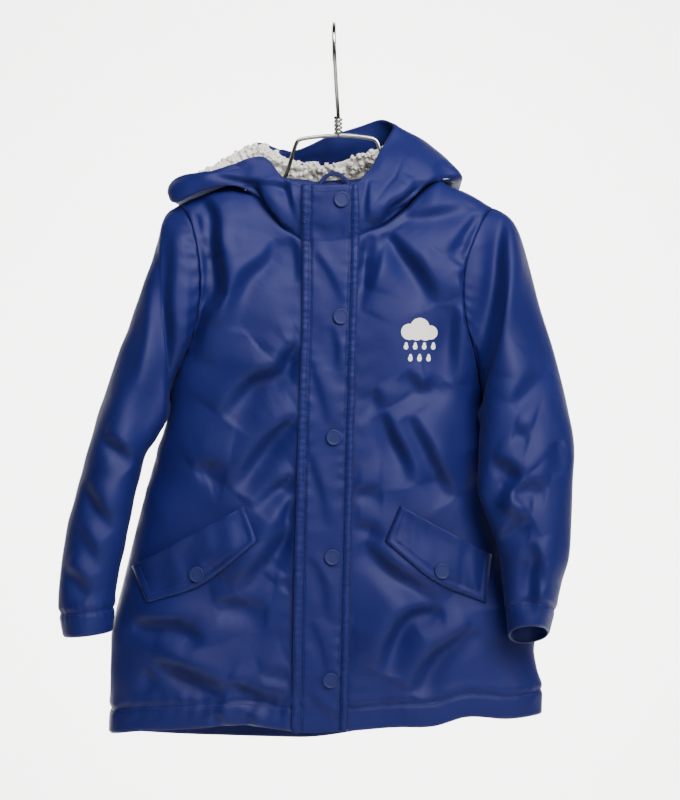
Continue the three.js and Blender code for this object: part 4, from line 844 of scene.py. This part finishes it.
across = np.unique(np.r_[-np.linspace(1, 2, 9)[::-1], np.linspace(-1, 1, 19), np.linspace(1, 2, 9)])
heights = np.unique(np.r_[spaced(0, 1, 456 * 1.3), spaced(1, 1.995, 54 * 1.3)])
placket_base = placket_surface(across, heights)
placket_out = normals(placket_base, 1)
s = across[:, None]
band = np.clip((np.abs(s) - 1) / 0.12, 0, 1)
welt = WELT_LIFT * np.sqrt(np.clip(1 - (2 * np.clip(np.abs(s) - 1, 0, 1) - 1) ** 4, 0, 1)) * (np.abs(s) >= 1)
flat_part = PLACKET_LIFT * (np.abs(s) < 1) * np.ones_like(heights)
flat_part = flat_part + (np.abs(s) < 1) * (0.5 * waver(placket_base, 60, 151) + 0.25 * waver(placket_base, 22, 152))
flat_part = flat_part - (np.abs(s) < 1) * 1.0 * np.exp(-((1 - np.abs(s)) / 0.09) ** 2)
flat_part += (np.abs(s) < 1) * pucker((1 - np.abs(s)) * 18, placket_base[..., 2], 14, 7, 0.55, placket_base, 153)
welt = welt + (np.abs(s) >= 1) * 0.35 * waver(placket_base, 18, 154)
flat_part = flat_part - 0.8 * (np.abs(s) < 1) * np.clip((1 - np.abs(s)) / 0.25, 0, 1) * fold_depth(
    placket_base[..., 0], placket_base[..., 2], PLACKET_FOLDS)
flat_part = np.log(np.exp(2.5 * flat_part) + math.exp(2.5 * 0.9)) / 2.5 * (np.abs(s) < 1)
welt = welt + (np.abs(s) >= 1) * 0.3 * np.sin(2 * math.pi * placket_base[..., 2] / 6.5
                                             + 2 * waver(placket_base, 40, 156))
placket_lift = np.maximum(flat_part, welt * np.ones_like(heights)) + 0.15
placket_lift -= 1.2 * np.clip(1 - edge_distance(placket_base, 1, True) / 1.6, 0, 1) ** 2
placket_grid = placket_base + placket_out * placket_lift[..., None]
placket_normals = normals(placket_grid, 1)
placket = grid_object("coat_placket", placket_grid, 1.6, 1)
print("placket", grid_area(placket_grid))
cloth_piece(placket, ["placket", "placket_welt_right", "placket_welt_left"])

# Pocket flaps: two pieces of padded coated knit sewn face to face, turned and topstitched 6 mm
# in from the free edges. The upper edge is sewn down on the slant, and the lower one has a
# soft point that the snap holds.
FLAPS = {
    "right": [-82, -453, -191, -512, -175, -545, -123, -530, -70, -486, -127, -517],
    "left": [61, -453, 148, -500, 142, -545, 95, -527, 47, -486, 100, -514]}


def surface_at(grid, x, z):
    """Outermost y of a front's dense grid near each x and z, with the slope left as it is."""
    flat = grid.reshape(-1, 3)
    y = np.empty(x.shape)
    for index in np.ndindex(x.shape):
        d = (flat[:, 0] - x[index]) ** 2 + (flat[:, 2] - z[index]) ** 2
        near = d < 36
        weight = np.exp(-d[near] / 12)
        y[index] = (flat[near, 1] * weight).sum() / weight.sum()
    return y


def make_flap(side, grid, seed):
    upx, upz, outx, outz, lowx, lowz, tipx, tipz, inx, inz, snapx, snapz = FLAPS[side]
    s, t = np.meshgrid(np.linspace(0, 1, 61), np.linspace(0, 1, 31), indexing="ij")
    x_up, z_up = upx + (outx - upx) * s, upz + (outz - upz) * s
    knee = np.clip((s - 0.5) / 0.14, -1, 1)
    bow = np.where(s < 0.5, 2 * s, 2 - 2 * s)
    x_low = np.where(s < 0.5, inx + (tipx - inx) * 2 * s, tipx + (lowx - tipx) * (2 * s - 1))
    z_low = np.where(s < 0.5, inz + (tipz - inz) * 2 * s, tipz + (lowz - tipz) * (2 * s - 1))
    z_low += 2.2 * (1 - np.abs(knee)) ** 2 * (bow > 0.6)
    x, z = x_up + (x_low - x_up) * t, z_up + (z_low - z_up) * t
    width = abs(outx - upx)
    edge = np.minimum(np.minimum(s, 1 - s) * width, (1 - t) * 36)
    puff = 3.2 * np.clip(edge / 3.0, 0, 1) ** 0.5 - 0.9 * np.exp(-((edge - 6.5) / 1.2) ** 2)
    puff += 0.9 * np.clip((edge - 7) / 8, 0, 1) + 1.6 * np.exp(-((t * 36) / 5) ** 2)
    points = np.stack([x, surface_at(grid, x, z) - 1.0, z], axis=-1)
    puff += 0.5 * waver(points, 30, seed) * np.clip(edge / 6, 0, 1)
    puff += 0.7 * waver(points * [1, 1, 0.3], 15, seed + 2) * np.clip((edge - 5) / 5, 0, 1)
    points[..., 1] -= puff
    return points


flap_right_grid = make_flap("right", right_grid, 161)
flap_left_grid = make_flap("left", left_grid, 171)
flap_right = grid_object("pocket_flap_cloth_right", flap_right_grid, 2.2, 1)
flap_left = grid_object("pocket_flap_cloth_left", flap_left_grid, 2.2, -1)
print("flaps", grid_area(flap_right_grid), grid_area(flap_left_grid))
cloth_piece(flap_right, ["pocket_flap_right"])
cloth_piece(flap_left, ["pocket_flap_left"])

# Topstitching: navy polyester thread, one stitch every 3.2 mm, sunk a little into the soft cloth.
# It runs along hem and cuffs, round the flaps and down both sides of each welt.
thread, shader = new_material("navy_sewing_thread")
place = node(thread, "ShaderNodeTexCoord").outputs["Object"]
twist = node(thread, "ShaderNodeTexNoise", Vector=place, Scale=2500.0, Detail=2.0).outputs["Fac"]
strand = node(thread, "ShaderNodeBump", Strength=0.3, Distance=0.0001, Height=twist)
thread.node_tree.links.new(strand.outputs["Normal"], shader.inputs["Normal"])
shader.inputs["Base Color"].default_value = linear("#0b1c62")
shader.inputs["Roughness"].default_value = 0.7


def stitch_lines(name, lines, pitch=3.2, radius=0.32):
    """One mesh of short stitches along lines, each given as points and the cloth's normals there."""
    verts, faces = [], []
    for points, out in lines:
        length = np.r_[0, np.cumsum(np.linalg.norm(np.diff(points, axis=0), axis=1))]
        starts = np.arange(0.4, length[-1] - pitch, pitch)
        for start in starts:
            at = start + np.array([0, 0.12, 0.5, 0.88, 1]) * pitch * 0.74
            centre = np.stack([np.interp(at, length, points[:, c]) for c in range(3)], axis=-1)
            up = np.stack([np.interp(at, length, out[:, c]) for c in range(3)], axis=-1)
            along = centre[-1] - centre[0]
            across = np.cross(along / max(np.linalg.norm(along), 1e-9), up)
            rise = np.array([-0.3, 0.15, 0.3, 0.15, -0.3])
            first = len(verts)
            for n in range(5):
                for turn in (0, math.pi / 2, math.pi, 1.5 * math.pi):
                    verts.append((centre[n] + up[n] * (rise[n] + radius * math.sin(turn))
                                  + across[n] * radius * 1.2 * math.cos(turn)) / 1000)
            for n in range(4):
                for c in range(4):
                    d = (c + 1) % 4
                    faces.append((first + 4 * n + c, first + 4 * n + d, first + 4 * n + 4 + d, first + 4 * n + 4 + c))
            faces += [(first, first + 1, first + 2, first + 3), (first + 16, first + 17, first + 18, first + 19)]
    mesh = bpy.data.meshes.new(name)
    mesh.from_pydata([tuple(v) for v in verts], [], faces)
    mesh.polygons.foreach_set("use_smooth", np.ones(len(faces), bool))
    made = bpy.data.objects.new(name, mesh)
    bpy.context.scene.collection.objects.link(made)
    made.data.materials.append(thread)
    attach(made, "root")
    return made


def line_at(grid, out, distance, target, axis):
    """Points and normals where the distance over the grid first passes the target along the axis."""
    if axis == 0:
        grid, out, distance = grid.transpose(1, 0, 2), out.transpose(1, 0, 2), distance.T
    index = np.argmin(np.abs(distance - target), axis=1)
    rest = np.arange(len(index))
    near = np.clip(index, 1, distance.shape[1] - 2)
    step = np.where((distance[rest, near] - target) * (distance[rest, near + 1] - target) <= 0, near, near - 1)
    share = (target - distance[rest, step]) / (distance[rest, step + 1] - distance[rest, step])
    share = np.clip(share, 0, 1)[:, None]
    return (grid[rest, step] * (1 - share) + grid[rest, step + 1] * share,
            out[rest, step] * (1 - share) + out[rest, step + 1] * share)


hems = [line_at(g, o, edge_distance(g, 1), 21.5, 1)
        for g, o in ((right_grid, right_normals), (left_grid, left_normals), (back_grid, back_normals))]
stitch_lines("stitches_hem", hems)
cuffs = []
for g, sign in ((sleeve_right_grid, -1), (sleeve_left_grid, 1)):
    points, out = line_at(g, normals(g, sign, True), edge_distance(g, 1, True), CUFF, 1)
    cuffs.append((np.vstack([points, points[:1]]), np.vstack([out, out[:1]])))
stitch_lines("stitches_cuffs", cuffs)
welts = []
for place_across in (-1.82, -1.16, -0.93, 0.93, 1.16, 1.82):
    column = int(np.argmin(np.abs(across - place_across)))
    welts.append((placket_grid[column, 2:-2], placket_normals[column, 2:-2]))
stitch_lines("stitches_placket", welts)
top_row = [int(np.argmin(np.abs(edge_distance(placket_base, 1, True)[len(across) // 2] - d))) for d in (7,)]
inner = np.abs(across) < 0.9
stitch_lines("stitches_placket_top", [(placket_grid[inner, n], placket_normals[inner, n]) for n in top_row])
bars = []
for z in (-180, -185, -190):
    column = int(np.argmin(np.abs(across + 1.5)))
    row = int(np.argmin(np.abs(placket_grid[column, :, 2] - z)))
    low = slice(column - 3, column + 4)
    bars.append((placket_grid[low, row] + placket_normals[low, row] * 0.4, placket_normals[low, row]))
stitch_lines("bartacks_placket", bars, 4.6, 0.5)
flap_lines = []
for g, sign in ((flap_right_grid, 1), (flap_left_grid, -1)):
    o = normals(g, sign)
    ring_of = np.vstack([g[4, 1:-5], g[4:-4, -6], g[-5, 1:-5][::-1]])
    out_of = np.vstack([o[4, 1:-5], o[4:-4, -6], o[-5, 1:-5][::-1]])
    flap_lines.append((ring_of, out_of))
stitch_lines("stitches_flaps", flap_lines)
rims = []
for near in (5.6,):
    column = int(np.argmin(np.abs(places - near)))
    rims.append((hood_grid[:, column], hood_normals[:, column]))
stitch_lines("stitches_hood_rim", rims)

# Snap caps: pressed zinc caps 15 mm across, lacquered in the coat's navy, with a shallow dish
# inside a rolled rim. They are riveted through the cloth and sit about 2.5 mm proud.
lacquer, shader = new_material("lacquered_snap_cap")
place = node(lacquer, "ShaderNodeTexCoord").outputs["Object"]
dust = node(lacquer, "ShaderNodeTexNoise", Vector=place, Scale=900.0, Detail=3.0).outputs["Fac"]
shade = node(lacquer, "ShaderNodeMix", {"data_type": "RGBA"}, Factor=dust)
shade.inputs[6].default_value = linear("#0c1752")
shade.inputs[7].default_value = linear("#111c5a")
skin = node(lacquer, "ShaderNodeBump", Strength=0.08, Distance=0.0002, Height=dust)
lacquer.node_tree.links.new(shade.outputs[2], shader.inputs["Base Color"])
lacquer.node_tree.links.new(skin.outputs["Normal"], shader.inputs["Normal"])
shader.inputs["Roughness"].default_value = 0.58
shader.inputs["Specular IOR Level"].default_value = 0.4
SNAPS = {
    "snap_placket_1": (7.2, -169), "snap_placket_2": (6.6, -278), "snap_placket_3": (0, -390),
    "snap_placket_4": (-1.5, -501), "snap_placket_5": (-3, -615),
    "snap_flap_right": (-127, -517), "snap_flap_left": (100, -514)}


def snap_cap(name, centre, axis):
    bpy.ops.object.select_all(action="DESELECT")
    bpy.ops.mesh.primitive_cylinder_add(vertices=40, radius=0.0073, depth=0.0024)
    made = bpy.context.object
    made.name = name
    bpy.ops.object.mode_set(mode="EDIT")
    bpy.ops.mesh.select_all(action="DESELECT")
    bpy.ops.object.mode_set(mode="OBJECT")
    for face in made.data.polygons:
        face.select = face.normal.z > 0.9
    bpy.ops.object.mode_set(mode="EDIT")
    bpy.ops.mesh.inset(thickness=0.0011, depth=0.0003)
    bpy.ops.mesh.inset(thickness=0.0005, depth=-0.0004)
    bpy.ops.mesh.inset(thickness=0.0022, depth=0.0)
    bpy.ops.mesh.select_all(action="SELECT")
    bpy.ops.mesh.bevel(offset=0.00028, segments=2, affect="EDGES")
    bpy.ops.object.mode_set(mode="OBJECT")
    bpy.ops.object.shade_smooth_by_angle(angle=math.radians(50))
    z = np.array(axis) / np.linalg.norm(axis)
    x = np.cross([0, 0, 1], z)
    x /= np.linalg.norm(x)
    turn = np.column_stack([x, np.cross(z, x), z])
    flat = np.empty(len(made.data.vertices) * 3)
    made.data.vertices.foreach_get("co", flat)
    placed = flat.reshape(-1, 3) @ turn.T + np.array(centre) / 1000
    made.data.vertices.foreach_set("co", placed.ravel())
    made.data.update()
    made.data.materials.append(lacquer)
    return made


def face_frame(grid, out, x, z):
    """Point and normal of a face near an x and z seen from the front."""
    flat, normal = grid.reshape(-1, 3), out.reshape(-1, 3)
    d = (flat[:, 0] - x) ** 2 + (flat[:, 2] - z) ** 2
    near = (d < 60) & (normal[:, 1] < -0.3)
    axis = normal[near].mean(axis=0)
    y = flat[near, 1].mean()
    return np.array([x, y, z]), axis / np.linalg.norm(axis)


for name, (x, z) in SNAPS.items():
    if "placket" in name:
        point, axis = face_frame(placket_grid, placket_normals, x, z)
    elif "right" in name:
        point, axis = face_frame(flap_right_grid, normals(flap_right_grid, 1), x, z)
    else:
        point, axis = face_frame(flap_left_grid, normals(flap_left_grid, -1), x, z)
    cap = snap_cap(name + "_cap", point + axis * 0.9, axis)
    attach(cap, "root")
    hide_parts(name)

# Hang loop: a 5 mm navy tape sewn in an arch at the inside of the back neck.
LOOP = [[-14, 30.3, -156], [-13, 30, -147], [-8, 29.9, -140], [0, 29.9, -137],
        [8, 29.9, -140], [14, 30, -147], [15, 30.1, -156]]
loop_line = smooth(np.c_[np.arange(7), np.array(LOOP, float)], np.linspace(0, 6, 60))
loop_in = np.gradient(loop_line, axis=0)
loop_in = np.cross(loop_in / np.linalg.norm(loop_in, axis=1, keepdims=True), [0, 1, 0])
loop_grid = np.stack([loop_line + loop_in * w for w in np.linspace(-2.0, 2.0, 5)])
loop = grid_object("hang_loop_tape", loop_grid, 0.9, 1)
loop.data.materials.append(coat)
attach(loop, "root")
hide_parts("hang_loop")

# Hanger: bright chromed steel wire 3.8 mm thick, bent into a hook and a flat shoulder frame,
# with the end wound round the neck in four close turns.
chrome, shader = new_material("chromed_steel_wire")
place = node(chrome, "ShaderNodeTexCoord").outputs["Object"]
smear = node(chrome, "ShaderNodeTexNoise", Vector=place, Scale=90.0, Detail=4.0).outputs["Fac"]
polish = node(chrome, "ShaderNodeMapRange", Value=smear, To_Min=0.10, To_Max=0.26)
pits = node(chrome, "ShaderNodeBump", Strength=0.05, Distance=0.0002, Height=smear)
chrome.node_tree.links.new(polish.outputs["Result"], shader.inputs["Roughness"])
chrome.node_tree.links.new(pits.outputs["Normal"], shader.inputs["Normal"])
shader.inputs["Base Color"].default_value = linear("#c9c8c4")
shader.inputs["Metallic"].default_value = 1.0
WIRE = 1.9
ROD = 18
HOOK = [[0, (ROD + WIRE) * math.cos(math.radians(a)), -ROD + (ROD + WIRE) * math.sin(math.radians(a))]
        for a in (-35, -20, 0, 20, 40, 60, 80, 100, 120, 140, 160, 180)]
HOOK += [[0.6, -18.5, -32], [1.6, -11, -50], [2.8, -3.5, -68], [4, 0, -86], [4, 0, -104]]
SHOULDERS = [
    [3, 0, -104], [-8, 0, -104.5], [-30, 0, -107.3], [-35, 0, -110], [-40.5, 0, -126],
    [-46, 0, -142], [-52, 0, -148.5], [-70, 0, -153.5], [-100, 0, -160.5], [-126, 0, -170], [-146, 0, -179.5],
    [-153, 0, -186], [-151, 0, -192], [-140, 0, -194], [-60, 0, -195], [0, 0, -195.5], [60, 0, -195],
    [142, 0, -194], [152, 0, -193], [155.5, 0, -189.5], [149, 0, -184], [128, 0, -172], [100, 0, -160],
    [70, 0, -152], [54, 0, -147], [48.5, 0, -142], [46, 0, -126], [41, 0, -110], [36, 0, -106.8],
    [14, 0, -104.2], [5, 0, -104]]
COIL = [[4 + 2.8 * math.cos(a), 2.8 * math.sin(a), -104 + a / (9 * math.pi) * 17]
        for a in np.linspace(0, 9 * math.pi, 110)]


def wire_along(name, path, radius):
    """Round wire along a smooth path through the points."""
    points = np.array(path, float)
    keys = np.r_[0, np.cumsum(np.linalg.norm(np.diff(points, axis=0), axis=1))]
    dense = smooth(np.c_[keys, points], np.linspace(0, keys[-1], int(keys[-1] / 1.6)))
    curve = bpy.data.curves.new(name, "CURVE")
    curve.dimensions = "3D"
    curve.bevel_depth = radius / 1000
    curve.bevel_resolution = 4
    curve.use_fill_caps = True
    spline = curve.splines.new("POLY")
    spline.points.add(len(dense) - 1)
    spline.points.foreach_set("co", np.c_[dense / 1000, np.ones(len(dense))].ravel())
    made = bpy.data.objects.new(name, curve)
    bpy.context.scene.collection.objects.link(made)
    bpy.ops.object.select_all(action="DESELECT")
    made.select_set(True)
    bpy.context.view_layer.objects.active = made
    bpy.ops.object.convert(target="MESH")
    made = bpy.context.object
    made.data.polygons.foreach_set("use_smooth", np.ones(len(made.data.polygons), bool))
    made.data.materials.clear()
    made.data.materials.append(chrome)
    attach(made, "root")
    return made


hook = wire_along("hanger_hook", HOOK, WIRE)
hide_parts("hanger")
wire_along("hanger_shoulders", SHOULDERS, WIRE)
wire_along("hanger_neck_coils", COIL, WIRE * 0.8)

# Room: a pale matte wall close behind the coat and a pale floor below, a camera level with the
# coat's middle 2 m away, and the soft light of a large window up in front with a weak fill.
wall_paint, shader = new_material("matte_wall_paint")
place = node(wall_paint, "ShaderNodeTexCoord").outputs["Object"]
rough = node(wall_paint, "ShaderNodeTexNoise", Vector=place, Scale=60.0, Detail=4.0).outputs["Fac"]
relief = node(wall_paint, "ShaderNodeBump", Strength=0.10, Distance=0.002, Height=rough)
wall_paint.node_tree.links.new(relief.outputs["Normal"], shader.inputs["Normal"])
shader.inputs["Base Color"].default_value = linear("#f7f7f5")
shader.inputs["Roughness"].default_value = 0.9
bpy.ops.object.select_all(action="DESELECT")
bpy.ops.mesh.primitive_plane_add(size=14, location=(0, 0, -1.35))
floor = bpy.context.object
floor.name = "floor"
floor.data.materials.append(wall_paint)
bpy.ops.mesh.primitive_plane_add(size=14, location=(0, 2.2, 3), rotation=(math.pi / 2, 0, 0))
backdrop = bpy.context.object
backdrop.name = "backdrop"
backdrop.data.materials.append(wall_paint)
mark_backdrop(floor, backdrop)


def area_light(name, place, target, size, power, colour=(1, 1, 1)):
    light = bpy.data.lights.new(name, "AREA")
    light.shape = "RECTANGLE"
    light.size, light.size_y = size
    light.energy = power
    light.color = colour
    made = bpy.data.objects.new(name, light)
    made.location = place
    aim = Vector(target) - Vector(place)
    made.rotation_euler = aim.to_track_quat("-Z", "Y").to_euler()
    made.visible_camera = False
    bpy.context.scene.collection.objects.link(made)
    return made


area_light("window", (1.1, -2.2, 1.2), (0, 0, -0.35), (1.6, 1.3), 116, (1.0, 0.99, 0.97))
area_light("ceiling_bounce", (0, -0.6, 0.45), (0, 0.02, -0.15), (0.6, 0.4), 5.5)
area_light("side_window", (-2.3, -1.0, 0.6), (0, 0, -0.35), (1.2, 1.6), 2, (0.95, 0.97, 1.0))
area_light("wall_wash", (0, 0.5, -0.35), (0, 2.2, -0.35), (2.8, 2.8), 310)
world = bpy.data.worlds.new("room_light")
bpy.context.scene.world = world
world.use_nodes = True
world.node_tree.nodes["Background"].inputs["Color"].default_value = linear("#eef1f5")
world.node_tree.nodes["Background"].inputs["Strength"].default_value = 0.015

camera = bpy.data.cameras.new("camera")
camera.lens = 36 * 2000 / 760
camera.clip_end = 30
eye = bpy.data.objects.new("camera", camera)
eye.location = (0.0057, -2.0, -0.3553)
eye.rotation_euler = (math.pi / 2, 0, 0)
bpy.context.scene.collection.objects.link(eye)
bpy.context.scene.camera = eye

low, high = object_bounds()
